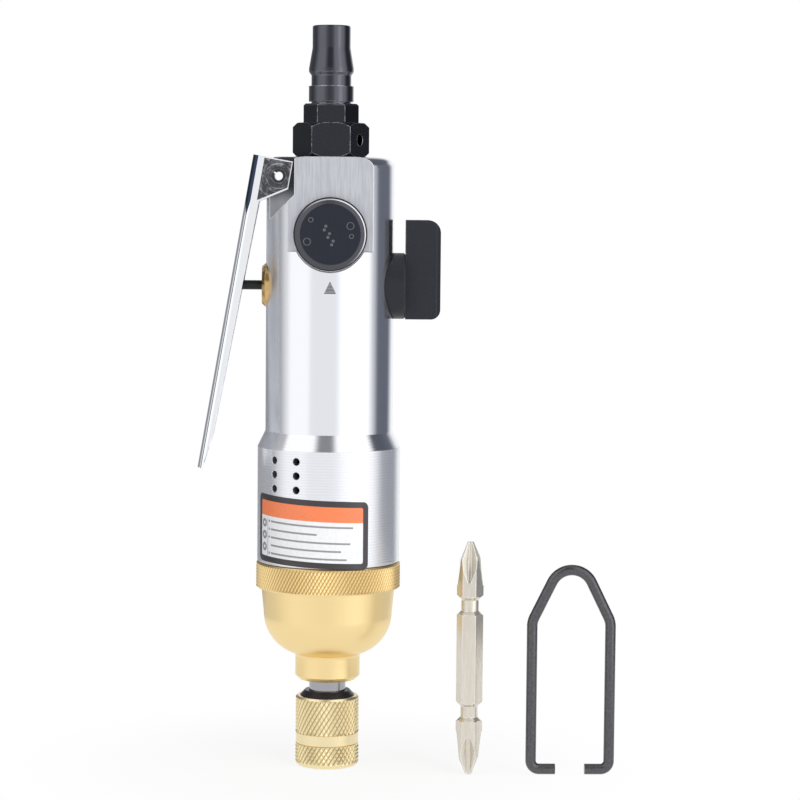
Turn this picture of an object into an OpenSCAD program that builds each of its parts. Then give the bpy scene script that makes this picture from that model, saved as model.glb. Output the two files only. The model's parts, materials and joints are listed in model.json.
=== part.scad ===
// Straight pneumatic impact screwdriver with a throttle lever, a regulator and a reversing wing,
// and the loose driver bit and wire hanger that lie beside it.
// The tool stands on +Z with the bit socket down. The origin is the middle of the socket's mouth.
// The front, with the regulator knob, faces -Y, the lever is on -X and the reversing wing on +X.

/* [Housing] */
// Radius of the slim upper body
barrel_r = 17.7; // [17.5:0.1:18.2]
// Length of the slim upper body, from the top face to the shoulder
barrel_len = 75.7; // [68:0.1:80]
// Radius of the wide lower body
skirt_r = 19.85; // [19.7:0.05:20.4]
// Length of the wide lower body
skirt_len = 32.2; // [31.6:0.1:34]
// Height of the cone between the two bodies
shoulder_len = 4.4; // [3.6:0.1:6]
// Rounding of the top rim
head_fillet = 3; // [1:0.5:3.5]
// Distance of the front flat from the axis
flat_y = 13.3; // [13:0.1:14.2]
// Height of the front flat below the top face
flat_len = 25.8; // [22:0.2:28]
// Depth of the reversing and throttle bores below the top face
valve_drop = 35.4; // [35:0.1:36]
// Depth of the regulator bore below the top face
regulator_drop = 21; // [20.5:0.1:21.4]
// Radius of the bore that holds the motor
chamber_r = 14.8; // [14.6:0.05:15]

/* [Exhaust] */
// Radius of one exhaust hole
exhaust_r = 1.05; // [0.7:0.05:1.2]
// Distance between exhaust rows
exhaust_pitch = 3.9; // [3.4:0.1:4.1]
// Exhaust rows in one column
exhaust_rows = 3; // [1:1:3]
// Angle between the two columns, in degrees
exhaust_step = 22; // [18:1:30]

/* [Hammer case] */
// Radius of the knurled flange
flange_r = 20.1; // [20:0.05:20.6]
// Height of the knurled flange
flange_len = 7.2; // [6:0.1:9]
// Radius of the bell at its top
bell_top_r = 18.6; // [18.4:0.1:19]
// Radius of the bell where its lower rounding starts
bell_r = 17.9; // [17.8:0.1:18.2]
// Height of the bell below the flange
bell_len = 19.1; // [18.8:0.1:22]
// Rounding of the bell's lower corner
bell_round = 12; // [10:0.2:12.2]
// Radius of the neck
neck_r = 9; // [8.4:0.1:10]
// Length of the neck below the bell
neck_len = 6.8; // [5.6:0.1:9]

/* [Chuck] */
// Across flats of the bit socket
socket_flats = 6.45; // [6.4:0.01:6.5]
// Depth of the bit socket
socket_len = 25.6; // [25:0.1:26.4]
// Radius of the anvil's shank
shank_r = 5.1; // [5:0.05:5.3]
// Radius of the knurled sleeve
sleeve_r = 8.9; // [8.8:0.1:9.4]
// Length of the knurled sleeve
sleeve_len = 19.8; // [19.4:0.1:22]
// How far the sleeve pushes back
sleeve_travel = 3.2; // [2.8:0.1:3.4]
// Radius of the locking ball
ball_r = 1.6; // [1.55:0.05:1.65]

/* [Throttle lever] */
// Length of the lever
lever_len = 87.5; // [80:0.5:90]
// Width of the lever over its flanges
lever_w = 14.4; // [13.8:0.1:15.4]
// Thickness of the lever's sheet
lever_sheet = 1.2; // [1:0.05:1.3]
// Lean of the released lever, in degrees
lever_lean = 9.9; // [9.6:0.1:11]
// Radius of the lever's pin
lever_pin_r = 1.85; // [1.6:0.05:2]
// Radius of the throttle stem
stem_r = 1.3; // [1.2:0.05:1.4]
// Radius of the throttle bush
bush_r = 6.1; // [6:0.05:6.2]

/* [Regulator and reverse] */
// Radius of the regulator knob
knob_r = 10.05; // [9.8:0.05:10.2]
// Height of the regulator knob
knob_len = 5.9; // [5:0.1:7]
// Radius of the reversing wing's hub
hub_r = 9.15; // [8.9:0.05:9.3]
// Reach of the wing beyond its hub
wing_reach = 9.7; // [8:0.1:12]
// Height of the wing above the hub's axis
wing_up = 18.3; // [16:0.1:20]
// Thickness of the wing
wing_w = 6; // [4:0.2:8]

/* [Air inlet] */
// Across flats of the inlet bushing
inlet_flats = 18.3; // [18:0.1:19]
// Height of the inlet bushing's hexagon
inlet_len = 9.4; // [8.8:0.1:11]
// Radius of the holes for the hanger
hanger_hole_r = 1.6; // [1.55:0.05:1.8]
// Across flats of the air plug
plug_flats = 13.2; // [12.8:0.1:14]
// Height of the air plug's hexagon
plug_hex_len = 5.3; // [4:0.1:7]
// Radius of the air plug's nose
nose_r = 5.25; // [5:0.05:5.4]
// Length of the air plug above its hexagon
plug_len = 21.4; // [21:0.1:23]
// Radius of the air plug's bore
plug_bore_r = 2.9; // [2:0.1:3.2]

/* [Motor] */
// Height of the valve bores above the motor's chamber
valve_rise = 13.5; // [13.2:0.1:13.8]
// Radius of the cylinder's bore
cylinder_bore_r = 12.6; // [12.5:0.05:12.7]
// Offset of the bore from the axis
bore_offset = 1; // [0.9:0.05:1.05]
// Radius of the rotor
rotor_r = 11.4; // [11.2:0.05:11.45]
// Vanes in the rotor
vane_count = 5; // [4:1:6]
// Thickness of one vane
vane_w = 1.6; // [1.2:0.1:2]

/* [Impact mechanism] */
// Radius of a hammer ring
hammer_r = 12.4; // [12.3:0.05:12.5]
// Height of one hammer ring
hammer_len = 9.4; // [8.6:0.1:9.6]
// Distance of the hammer pins from the axis
hammer_pin_at = 11.6; // [11.5:0.05:11.7]
// Radius of a hammer pin
hammer_pin_r = 1.3; // [1.1:0.05:1.35]

/* [Bit and hanger] */
// Across flats of the driver bit
bit_flats = 6.35; // [6.1:0.05:6.4]
// Length of the driver bit
bit_len = 64.8; // [55:0.2:110]
// Radius of the hanger's wire
wire_r = 1.47; // [1.2:0.05:1.5]
// Width of the hanger over its wire
hanger_w = 24.6; // [23:0.2:30]
// Height of the hanger
hanger_h = 58.5; // [54:0.1:70]

/* [Hidden] */
$fn = 64;

// Clearances and small steps that several pieces share
overrun = 1;
seat = 0.02;
slip = 0.05;
free_gap = 0.1;
rest_gap = 0.3;
edge = 0.5;
ring_slit = 1.2;

// Heights along the tool, from the mouth of the socket
sleeve_clear = 1.5;
neck_z = sleeve_len + sleeve_travel + sleeve_clear;
bell_z = neck_z + neck_len;
flange_z = bell_z + bell_len;
skirt_z = flange_z + flange_len;
shoulder_z = skirt_z + skirt_len;
barrel_z = shoulder_z + shoulder_len;
head_z = barrel_z + barrel_len;
inlet_z = head_z + inlet_len;
plug_z = inlet_z + plug_hex_len;
top_z = plug_z + plug_len;
valve_z = head_z - valve_drop;
regulator_z = head_z - regulator_drop;

// Hammer case, and the stack of the motor above it
case_thread_r = 17;
case_thread_len = 12.3;
case_bore_r = 14.6;
case_floor = 14;
neck_chamfer = 1.1;
neck_groove_r = 0.4;
bush_wall = 1.4;
case_floor_z = neck_z + case_floor;
case_top_z = skirt_z + case_thread_len;
front_plate_len = 7.6;
rear_plate_len = 8;
cylinder_z = case_top_z + front_plate_len;
chamber_top_z = valve_z - valve_rise;
cylinder_top_z = chamber_top_z - rear_plate_len;
cylinder_len = cylinder_top_z - cylinder_z;
wide_bore_r = case_thread_r + slip;
wide_bore_drop = 1.5;

// Air ways in the head
inlet_thread_r = 6.5;
inlet_thread_len = 10;
air_way_r = 4;
port_r = 1.5;
port_x = 11.2;
port_y = 5.5;
port_lean = 18;
duct_r = 1.5;
duct_drop = 8.6;
duct_from_x = -10;
duct_to_x = 8;
regulator_depth = 8;
regulator_r = 6;
reverse_r = 6.6;
reverse_end_x = 4.3;
valve_seat_x = -5;
valve_chamber_r = 5.2;
spot_r = 9.5;
spot_x = 13.6;
snap_w = 0.8;
snap_bite = 0.55;
snap_in = 0.8;
ring_in = 4.2;
ring_r = 0.7;

// Exhaust holes: the first column's heading and the first row's depth below the shoulder
exhaust_angle = 243.4;
exhaust_drop = 2.8;

// Lever: u runs inwards from its outer face and v down from its top end
pivot_u = 7.85;
pivot_v = 4.57;
pivot_in = 3.4;
pivot_drop = 5.3;
pivot_x = -(barrel_r - pivot_in);
pivot_z = head_z - pivot_drop;
ear_u = 11.1;
ear_v = 7.7;
ear_foot_u = 3.8;
ear_foot_v = 12.4;
arm_u = 2.6;
tip_u = 1.3;
tip_v = 9.5;
lever_round = 2.2;
ear_gap = 0.2;
tongue_w = lever_w - 2 * lever_sheet - 2 * ear_gap;
pocket_x = 9.9;
pocket_drop = 10.4;
pocket_run = 8.4;
pin_wall = 0.65;
pin_slit = 0.5;
pin_slit_angle = 140;
pin_proud = 0.2;

// Throttle valve, along X from the lever to the middle of the head
bush_proud = 1.1;
bush_round = 0.9;
bush_cavity_r = 3.4;
bush_cavity_len = 7;
bush_groove_in = 3.6;
bush_groove_len = 6;
bush_groove_r = 5;
bush_port_r = 1.6;
bush_ring_in = 2;
poppet_r = 4.3;
poppet_len = 1.2;
throttle_seal_r = 4.5;
throttle_seal_len = 1;
stem_ring_r = 0.5;
stem_ring_in = 3;
web_gap = 0.1;
throttle_wire_r = 0.3;
throttle_coil_r = 2.6;
throttle_turns = 4;
bush_face_x = -(barrel_r + bush_proud);
web_x = pivot_x - (pivot_u - lever_sheet) / cos(lever_lean) - (pivot_z - valve_z) * tan(lever_lean);
stem_tip_x = web_x + web_gap;
poppet_x = valve_seat_x + throttle_seal_len;

// Regulator knob and spool, out of the front flat
knob_gap = 0.2;
knob_rim = 1.3;
knob_step = 0.35;
knob_bevel = 1.6;
knob_bevel_len = 1.1;
spool_shank_r = 3.5;
spool_shank_len = 4;
tang_r = 3.5;
tang_len = 4;
knob_z = flat_y + knob_gap;

// Reversing wing and spool, along X
hub_gap = 0.2;
hub_out = 3.2;
hub_wall = 1.5;
wing_round = 3.6;
wing_foot_round = 2.7;
wing_edge = 1.1;
pocket_r = 4.4;
pocket_len = 3.2;
pocket_angle = 120;
inner_ring_x = 5.5;
outer_ring_x = 11;
cross_pin_r = 1.1;
cross_pin_up = 7.2;
hub_x = spot_x + hub_gap;
hub_top_x = barrel_r + hub_out;
spool_end_x = hub_top_x - hub_wall;

// Air inlet bushing and plug
hex_chamfer = 1.2;
crown_in = 1.2;
inlet_bore_r = 4.3;
plug_thread_r = 4.9;
plug_thread_len = 6;
hanger_hole_len = 3.5;
hanger_hole_angle = -30;
seal_len = 0.8;
seal_w = 1.6;
screen_len = 0.6;
screen_hole_r = 0.8;
screen_holes = 6;
screen_ring = 2.7;
collar_r = 6.2;
collar_len = 4.3;
groove_r = 5.5;
groove_len = 2.9;
groove_slope = 1;
collar_flat = 1;
cone_len = 5.6;

// Motor
race_r = 3.5;
race_out_r = 9.5;
race_len = 6;
race_wall = 1.6;
race_mid_r = 6.5;
race_ball_r = 1.35;
race_balls = 7;
plate_hole_r = 4.1;
rotor_gap = 0.1;
slot_floor_r = 6.4;
vane_proud = 0.1;
dowel_r = 0.9;
dowel_len = 6;
cylinder_vent_r = 1.4;
cylinder_vent_step = 24;
drive_flats = 5.6;
drive_len = 5;
cylinder_r = chamber_r - free_gap;
dowel_x = -(cylinder_r + cylinder_bore_r - bore_offset) / 2;

// Impact mechanism
washer_len = 0.8;
washer_r = 13.9;
cage_r = 14.3;
cage_plate_len = 2.4;
cage_back_len = 3;
cage_boss_r = 8.5;
cage_hole_r = 7.5;
cage_pillar_w = 0.9;
cage_pillar_angle = 25;
hammer_gap = 0.25;
hammer_bore_r = 8.2;
hammer_lobe_r = 6.15;
hammer_notch_w = 5.8;
hammer_notch_r = 10;
jaw_r = 7.2;
jaw_core_r = 5.4;
jaw_angle = 22;
lobe_angle = 18;
jaw_gap_angle = 10;
pilot_r = 3;
pilot_len = 2;
cage_top_gap = 1;
cage_z = case_floor_z + washer_len + free_gap;
front_hammer_z = cage_z + cage_plate_len + hammer_gap;
rear_hammer_z = front_hammer_z + hammer_len + hammer_gap;
cage_back_z = rear_hammer_z + hammer_len + hammer_gap;
cage_top_z = case_top_z - cage_top_gap;
jaw_heading = 90 + lobe_angle / 2 + jaw_gap_angle + jaw_angle / 2;

// Chuck: the ball stands in the middle of the bit's groove when the bit is home
bit_groove_at = 14.8;
bit_groove_len = 5.6;
bit_groove_r = 2.4;
mouth_z = 0.4;
mouth_chamfer = 0.5;
ball_bite = 0.6;
ramp_rise = 1;
ramp_over = 2.3;
land_len = 1;
land_gap = 0.15;
recess_r = 7.1;
lip_z = 2.1;
lip_len = 0.8;
sleeve_wall = 1.3;
sleeve_round = 1.2;
sleeve_top_chamfer = 0.5;
band_z = 6.4;
band_len = 3.1;
band_depth = 0.15;
nose_ring_z = 1;
nose_ring_len = 0.9;
nose_ring_r = 6;
nose_ring_bite = 0.5;
retainer_flange = 1.65;
retainer_proud = 0.2;
retainer_rise = 1.3;
retainer_top_r = 6.3;
retainer_gap = 0.1;
shank_ring_len = 1.1;
shank_ring_bite = 0.5;
shank_ring_w = 0.9;
sleeve_wire_r = 0.4;
sleeve_turns = 4;
retainer_r = sleeve_r - sleeve_wall - retainer_gap;
retainer_z = sleeve_len + retainer_proud - retainer_flange;
ball_z = mouth_z + socket_len - bit_groove_at - bit_groove_len / 2;
ball_at = socket_flats / 2 - ball_bite + ball_r;
ramp_share = ramp_rise / sleeve_travel;
ramp_r = ball_at + (ball_r + slip) * sqrt(1 + ramp_share * ramp_share);
land_r = shank_r + land_gap;
land_z = ball_z + ramp_over;
recess_z = ball_z - (recess_r - ramp_r) / ramp_share;
spring_floor_z = land_z + land_len;

// Driver bit and hanger
kit_y = -12.5;
bit_x = 39.2;
bit_turn = -7.5;
bit_neck_len = 1.3;
bit_tip_r = 1.05;
bit_tip_angle = 26.5;
bit_tip_bevel = 0.3;
bit_flute_in = 0.72;
bit_flute_w = 1.3;
bit_flute_bevel = 0.25;
bit_flute_open = 50;
bit_wheel_r = 32;
bit_wheel_drop = 1.16;
bit_cone_top = bit_tip_bevel + (bit_flats - bit_tip_r) / tan(bit_tip_angle);
hanger_x = 67.25;
hanger_gap = 8.2;
hanger_foot_round = 2.3;
hanger_lean = 26.1;
hanger_side_round = 6;
hanger_top_round = 6.1;

// Turns the Z axis of its children to +X, at the height given
module along_x(z) translate([0, 0, z]) rotate([0, 90, 0]) children();

// Turns the Z axis of its children to the front, -Y, at the height given
module to_front(z) translate([0, 0, z]) rotate([90, 0, 0]) children();

// A round bar between two heights
module bar(r, from, to) translate([0, 0, from]) cylinder(r = r, h = to - from);

// A tube between two heights
module tube(r, bore, from, to) {
    difference() {
        bar(r, from, to);
        bar(bore, from - overrun, to + overrun);
    }
}

// A cone between two heights
module taper(r_low, r_high, from, to) {
    translate([0, 0, from]) cylinder(r1 = r_low, r2 = r_high, h = to - from);
}

// A round bar whose upper edge is rounded
module round_bar(r, from, to, fillet) {
    translate([0, 0, from]) rotate_extrude() {
        square([r - fillet, to - from]);
        square([r, to - from - fillet]);
        translate([r - fillet, to - from - fillet]) circle(r = fillet);
    }
}

// A hexagon bar with flats facing Y
module hex_bar(flats, from, to) {
    translate([0, 0, from]) linear_extrude(to - from) circle(r = flats / sqrt(3), $fn = 6);
}

// A ring of round section
module o_ring(mid_r, ring_r) rotate_extrude() translate([mid_r, 0]) circle(r = ring_r, $fn = 32);

// A split ring with its gap on the local +X side
module split_ring(r, bore, from, to, gap) {
    difference() {
        tube(r, bore, from, to);
        translate([0, -gap / 2, from - overrun]) cube([r + overrun, gap, to - from + 2 * overrun]);
    }
}

// A wedge of a tube, centred on a heading in degrees
module tube_wedge(r, bore, from, to, heading, angle) {
    rotate([0, 0, heading - angle / 2]) translate([0, 0, from]) rotate_extrude(angle = angle)
        translate([bore, 0]) square([r - bore, to - from]);
}

// A coil spring: one unbroken tube of six sides, carried round a helix by eight rings a turn
module coil(mid_r, wire_r, length, turns) {
    turn_rings = 8;
    sides = 6;
    rings = turn_rings * turns;
    run = length - 2 * wire_r;
    function ring_point(i, j) =
        let (a = 360 / turn_rings * i, b = 360 / sides * j, r = mid_r + wire_r * cos(b))
        [r * cos(a), r * sin(a), wire_r + run * i / rings + wire_r * sin(b)];
    curl_gaps = [for (i = [0 : rings - turn_rings], j = [0 : sides - 1], k = [0 : sides - 1])
        norm(ring_point(i, j) - ring_point(i + turn_rings, k))];
    echo("least gap between the curls", min(curl_gaps));
    side_points = [for (i = [0 : rings], j = [0 : sides - 1]) ring_point(i, j)];
    walls = [for (i = [0 : rings - 1], j = [0 : sides - 1])
        let (k = (j + 1) % sides, p = i * sides)
        for (t = [[p + j, p + sides + k, p + k], [p + j, p + sides + j, p + sides + k]]) t];
    first_end = [for (j = [1 : sides - 2]) [0, j, j + 1]];
    last = rings * sides;
    last_end = [for (j = [1 : sides - 2]) [last, last + j + 1, last + j]];
    polyhedron(side_points, concat(walls, first_end, last_end));
}

module housing() {
    color("silver") difference() {
        union() {
            bar(skirt_r, skirt_z + edge, shoulder_z);
            taper(skirt_r - edge, skirt_r, skirt_z, skirt_z + edge);
            taper(skirt_r, barrel_r, shoulder_z, barrel_z);
            round_bar(barrel_r, shoulder_z, head_z, head_fillet);
        }
        bar(wide_bore_r, skirt_z - overrun, shoulder_z - wide_bore_drop);
        bar(chamber_r, skirt_z, chamber_top_z);
        exhaust_holes();
        front_flat();
        air_ways();
        valve_bores();
        lever_pockets();
    }
}

module exhaust_holes() {
    for (column = [0 : 1], row = [0 : exhaust_rows - 1])
        rotate([0, 0, exhaust_angle - column * exhaust_step])
            along_x(shoulder_z - exhaust_drop - row * exhaust_pitch)
                bar(exhaust_r, chamber_r, skirt_r + overrun);
}

module front_flat() {
    translate([-barrel_r, -barrel_r - overrun, head_z - flat_len])
        cube([2 * barrel_r, barrel_r + overrun - flat_y, flat_len + overrun]);
    to_front(regulator_z) bar(knob_r + rest_gap, flat_y, barrel_r + overrun);
}

module air_ways() {
    bar(inlet_thread_r + seal_w + slip, head_z - seal_len, head_z + overrun);
    bar(inlet_thread_r, head_z - inlet_thread_len, head_z + overrun);
    bar(air_way_r, valve_z, head_z);
    for (side = [-1, 1])
        translate([port_x, side * port_y, chamber_top_z]) rotate([0, -port_lean, 0])
            bar(port_r, -overrun, valve_z - chamber_top_z);
    along_x(valve_z - duct_drop) bar(duct_r, duct_from_x, duct_to_x);
    for (end_x = [duct_from_x, duct_to_x])
        translate([end_x, 0, 0]) bar(duct_r, valve_z - duct_drop, valve_z - bush_groove_r);
}

module valve_bores() {
    to_front(regulator_z) {
        bar(regulator_r, flat_y - regulator_depth, flat_y + overrun);
        bar(tang_r + slip, 0, flat_y);
        bar(regulator_r + snap_bite + slip, flat_y - snap_in - snap_w - slip, flat_y - snap_in + slip);
    }
    along_x(valve_z) {
        bar(bush_r, -(barrel_r + overrun), valve_seat_x);
        bar(valve_chamber_r, valve_seat_x - overrun, reverse_end_x);
        bar(reverse_r, reverse_end_x, barrel_r);
        bar(reverse_r + snap_bite + slip, spot_x - snap_in - snap_w - slip, spot_x - snap_in + slip);
        bar(spot_r, spot_x, barrel_r + overrun);
    }
}

module lever_pockets() {
    ramp_x = pocket_x + pocket_run;
    floor_z = head_z - pocket_drop;
    for (side = [0, 1])
        mirror([0, side, 0]) translate([0, -tongue_w / 2, 0]) to_front(0) linear_extrude(barrel_r)
            polygon([
                [-pocket_x, head_z + overrun], [-pocket_x, floor_z],
                [-ramp_x, floor_z - pocket_run], [-ramp_x, head_z + overrun]
            ]);
    translate([pivot_x, barrel_r, 0]) to_front(pivot_z) bar(lever_pin_r + seat, 0, 2 * barrel_r);
}

module inlet_bushing() {
    corner_r = inlet_flats / sqrt(3);
    color("dimgray") difference() {
        union() {
            intersection() {
                hex_bar(inlet_flats, head_z, inlet_z);
                union() {
                    taper(corner_r - crown_in, corner_r, head_z, head_z + hex_chamfer);
                    bar(corner_r, head_z + hex_chamfer, inlet_z - hex_chamfer);
                    taper(corner_r, corner_r - crown_in, inlet_z - hex_chamfer, inlet_z);
                }
            }
            bar(inlet_thread_r - seat, head_z - inlet_thread_len + seal_len, head_z);
        }
        bar(inlet_bore_r, head_z - inlet_thread_len, inlet_z);
        bar(plug_thread_r, inlet_z - plug_thread_len, inlet_z + overrun);
        hanger_holes();
    }
}

module hanger_holes() {
    for (side = [0, 180])
        rotate([0, 0, hanger_hole_angle + side]) along_x(head_z + inlet_len / 2)
            bar(hanger_hole_r, inlet_flats / 2 - hanger_hole_len, inlet_flats / 2 + overrun);
}

module inlet_screen() {
    floor_z = inlet_z - plug_thread_len;
    color("gainsboro") difference() {
        bar(plug_thread_r - seat, floor_z, floor_z + screen_len);
        bar(screen_hole_r, floor_z - overrun, floor_z + screen_len + overrun);
        for (i = [0 : screen_holes - 1])
            rotate([0, 0, 360 / screen_holes * i]) translate([screen_ring, 0, 0])
                bar(screen_hole_r, floor_z - overrun, floor_z + screen_len + overrun);
    }
}

module inlet_seal() {
    color("black") tube(inlet_thread_r + seal_w, inlet_thread_r, head_z - seal_len, head_z);
}

module air_plug() {
    corner_r = plug_flats / sqrt(3);
    lower_z = plug_z + edge;
    groove_z = lower_z + collar_len;
    upper_z = groove_z + groove_len + groove_slope;
    cone_z = upper_z + collar_flat;
    nose_z = cone_z + cone_len;
    color("dimgray") difference() {
        union() {
            intersection() {
                hex_bar(plug_flats, inlet_z, plug_z);
                union() {
                    bar(corner_r, inlet_z, plug_z - edge);
                    taper(corner_r, corner_r - edge, plug_z - edge, plug_z);
                }
            }
            bar(plug_thread_r - seat, inlet_z - plug_thread_len + screen_len, inlet_z);
            bar(groove_r, plug_z, upper_z);
            bar(collar_r, lower_z, groove_z);
            taper(groove_r, collar_r, upper_z - groove_slope, upper_z);
            bar(collar_r, upper_z, cone_z);
            taper(collar_r, nose_r, cone_z, nose_z);
            round_bar(nose_r, nose_z, top_z, edge);
        }
        bar(plug_bore_r, inlet_z - plug_thread_len - overrun, top_z + overrun);
    }
}

// The lever's upright frame, tilted and hung on its pivot
module on_pivot() {
    translate([pivot_x, 0, pivot_z]) rotate([0, lever_lean, 0])
        translate([-pivot_u, 0, pivot_v]) children();
}

// The channel's section, drawn in from its outer face and its flanks
module channel(inset) {
    half_w = lever_w / 2 - inset;
    corner_r = lever_round - inset;
    translate([0, 0, -lever_len - overrun]) linear_extrude(lever_len + 2 * overrun) {
        translate([lever_round, -half_w]) square([ear_u, 2 * half_w]);
        translate([inset, -half_w + corner_r]) square([ear_u, 2 * (half_w - corner_r)]);
        for (side = [-1, 1])
            translate([lever_round, side * (half_w - corner_r)]) circle(r = corner_r);
    }
}

module throttle_lever() {
    color("gainsboro") on_pivot() difference() {
        intersection() {
            translate([0, lever_w / 2, 0]) to_front(0) linear_extrude(lever_w)
                polygon([
                    [0, 0], [ear_u, 0], [ear_u, -ear_v], [ear_foot_u, -ear_foot_v],
                    [arm_u, tip_v - lever_len], [tip_u, -lever_len], [0, -lever_len]
                ]);
            channel(0);
        }
        channel(lever_sheet);
        translate([pivot_u, lever_w, 0]) to_front(-pivot_v) bar(lever_pin_r + slip, 0, 2 * lever_w);
    }
}

module lever_pin() {
    half_len = lever_w / 2 + pin_proud;
    color("dimgray") translate([pivot_x, 0, 0]) to_front(pivot_z) rotate([0, 0, pin_slit_angle])
        split_ring(lever_pin_r, lever_pin_r - pin_wall, -half_len, half_len, pin_slit);
}

module throttle_bush() {
    groove_x = -barrel_r + bush_groove_in;
    bush_port_x = (groove_x + bush_groove_len + valve_seat_x - bush_cavity_len) / 2;
    color("goldenrod") along_x(valve_z) difference() {
        union() {
            bar(bush_r - seat, bush_face_x + bush_round, valve_seat_x);
            taper(bush_r - bush_round, bush_r - seat, bush_face_x, bush_face_x + bush_round);
        }
        bar(stem_r + slip, bush_face_x - overrun, valve_seat_x);
        bar(bush_cavity_r, valve_seat_x - bush_cavity_len, valve_seat_x + overrun);
        tube(bush_r + overrun, bush_groove_r, groove_x, groove_x + bush_groove_len);
        for (turn = [0, 90])
            rotate([0, 0, turn]) translate([0, 0, bush_port_x])
                rotate([90, 0, 0]) bar(bush_port_r, -bush_r, bush_r);
        translate([0, 0, -barrel_r + bush_ring_in]) o_ring(bush_r, ring_r);
        translate([0, 0, bush_face_x + stem_ring_in]) o_ring(stem_r + stem_ring_r, stem_ring_r + seat);
    }
}

module throttle_orings() {
    color("black") along_x(valve_z) {
        difference() {
            translate([0, 0, -barrel_r + bush_ring_in]) o_ring(bush_r, ring_r - seat);
            tube(bush_r + overrun, bush_r - seat, -barrel_r, -barrel_r + 2 * bush_ring_in);
        }
        difference() {
            translate([0, 0, bush_face_x + stem_ring_in]) o_ring(stem_r + stem_ring_r, stem_ring_r);
            bar(stem_r + slip, bush_face_x, bush_face_x + 2 * stem_ring_in);
        }
    }
}

module throttle_stem() {
    color("black") along_x(valve_z) {
        taper(stem_r - edge, stem_r, stem_tip_x, stem_tip_x + edge);
        bar(stem_r, stem_tip_x + edge, poppet_x);
        bar(poppet_r, poppet_x, poppet_x + poppet_len);
    }
}

module throttle_seal() {
    color("black") along_x(valve_z) tube(throttle_seal_r, stem_r, valve_seat_x, poppet_x);
}

module throttle_spring() {
    from_x = poppet_x + poppet_len;
    color("lightgray") along_x(valve_z) translate([0, 0, from_x])
        coil(throttle_coil_r, throttle_wire_r, reverse_end_x - from_x, throttle_turns);
}

module regulator_knob() {
    color("black") to_front(regulator_z) difference() {
        translate([0, 0, knob_z]) rotate_extrude() polygon([
            [0, 0], [knob_r, 0], [knob_r, knob_rim], [knob_r - knob_step, knob_rim],
            [knob_r - knob_step, knob_len - knob_bevel_len],
            [knob_r - knob_step - knob_bevel, knob_len], [0, knob_len]
        ]);
        bar(spool_shank_r, knob_z - overrun, knob_z + spool_shank_len);
    }
}

module regulator_spool() {
    regulator_end = flat_y - regulator_depth;
    color("darkgray") to_front(regulator_z) difference() {
        union() {
            bar(regulator_r - slip, regulator_end + free_gap, flat_y);
            bar(spool_shank_r - seat, flat_y, knob_z + spool_shank_len);
            tube_wedge(tang_r, 0, regulator_end - tang_len, regulator_end + edge, 90, 180);
        }
        snap_groove(regulator_r, flat_y);
        translate([0, 0, flat_y - ring_in]) o_ring(regulator_r, ring_r);
    }
}

// The groove that a snap ring takes in a spool, below the face given
module snap_groove(r, face) {
    tube(r + overrun, r - snap_bite - slip, face - snap_in - snap_w - slip, face - snap_in + slip);
}

module snap_ring(r, face) {
    split_ring(r + snap_bite, r - snap_bite, face - snap_in - snap_w, face - snap_in, ring_slit);
}

// The part of a seal ring that a spool's groove holds, with its middle at a height
module spool_ring(r, z) {
    difference() {
        translate([0, 0, z]) o_ring(r, ring_r - seat);
        tube(r + overrun, r - seat, z - 2 * ring_r, z + 2 * ring_r);
    }
}

module regulator_oring() color("black") to_front(regulator_z) spool_ring(regulator_r, flat_y - ring_in);

module regulator_snap_ring() color("dimgray") to_front(regulator_z) snap_ring(regulator_r, flat_y);

module reverse_wing() {
    color("#3c3e44") difference() {
        union() {
            along_x(valve_z) {
                bar(hub_r, hub_x, hub_top_x - edge);
                taper(hub_r, hub_r - edge, hub_top_x - edge, hub_top_x);
            }
            wing();
        }
        along_x(valve_z) bar(reverse_r, hub_x - overrun, spool_end_x);
        cross_pin(cross_pin_r);
    }
}

module wing() {
    root_x = hub_top_x - edge;
    tip_x = hub_top_x + wing_reach;
    high = wing_up + hub_r;
    intersection() {
        translate([0, wing_w / 2, 0]) to_front(valve_z - hub_r) linear_extrude(wing_w) {
            translate([root_x, 0]) square([tip_x - wing_round - root_x, high]);
            translate([tip_x - wing_round, wing_foot_round])
                square([wing_round, high - wing_foot_round - wing_round]);
            translate([tip_x - wing_round, 0]) square([wing_round - wing_foot_round, wing_foot_round]);
            translate([tip_x - wing_foot_round, wing_foot_round]) circle(r = wing_foot_round);
            translate([tip_x - wing_round, high - wing_round]) circle(r = wing_round);
        }
        translate([0, 0, valve_z - hub_r - overrun]) linear_extrude(high + 2 * overrun)
            polygon([
                [root_x, -wing_w / 2], [tip_x - wing_edge, -wing_w / 2], [tip_x, wing_edge - wing_w / 2],
                [tip_x, wing_w / 2 - wing_edge], [tip_x - wing_edge, wing_w / 2], [root_x, wing_w / 2]
            ]);
        union() {
            along_x(valve_z) bar(hub_r - edge, root_x, tip_x);
            translate([hub_top_x, -wing_w, valve_z - hub_r - overrun])
                cube([wing_reach + overrun, 2 * wing_w, high + 2 * overrun]);
        }
    }
}

// The way of a pin across the hub that bites into the side of the spool
module cross_pin(r) {
    middle_x = (hub_x + spool_end_x) / 2;
    translate([middle_x, 0, 0]) to_front(valve_z + cross_pin_up) bar(r, -hub_r, hub_r);
}

// The pin's ends are ground flush with the hub
module reverse_pin() {
    color("dimgray") intersection() {
        cross_pin(cross_pin_r - seat);
        along_x(valve_z) bar(hub_r - seat, hub_x, spool_end_x);
    }
}

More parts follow.
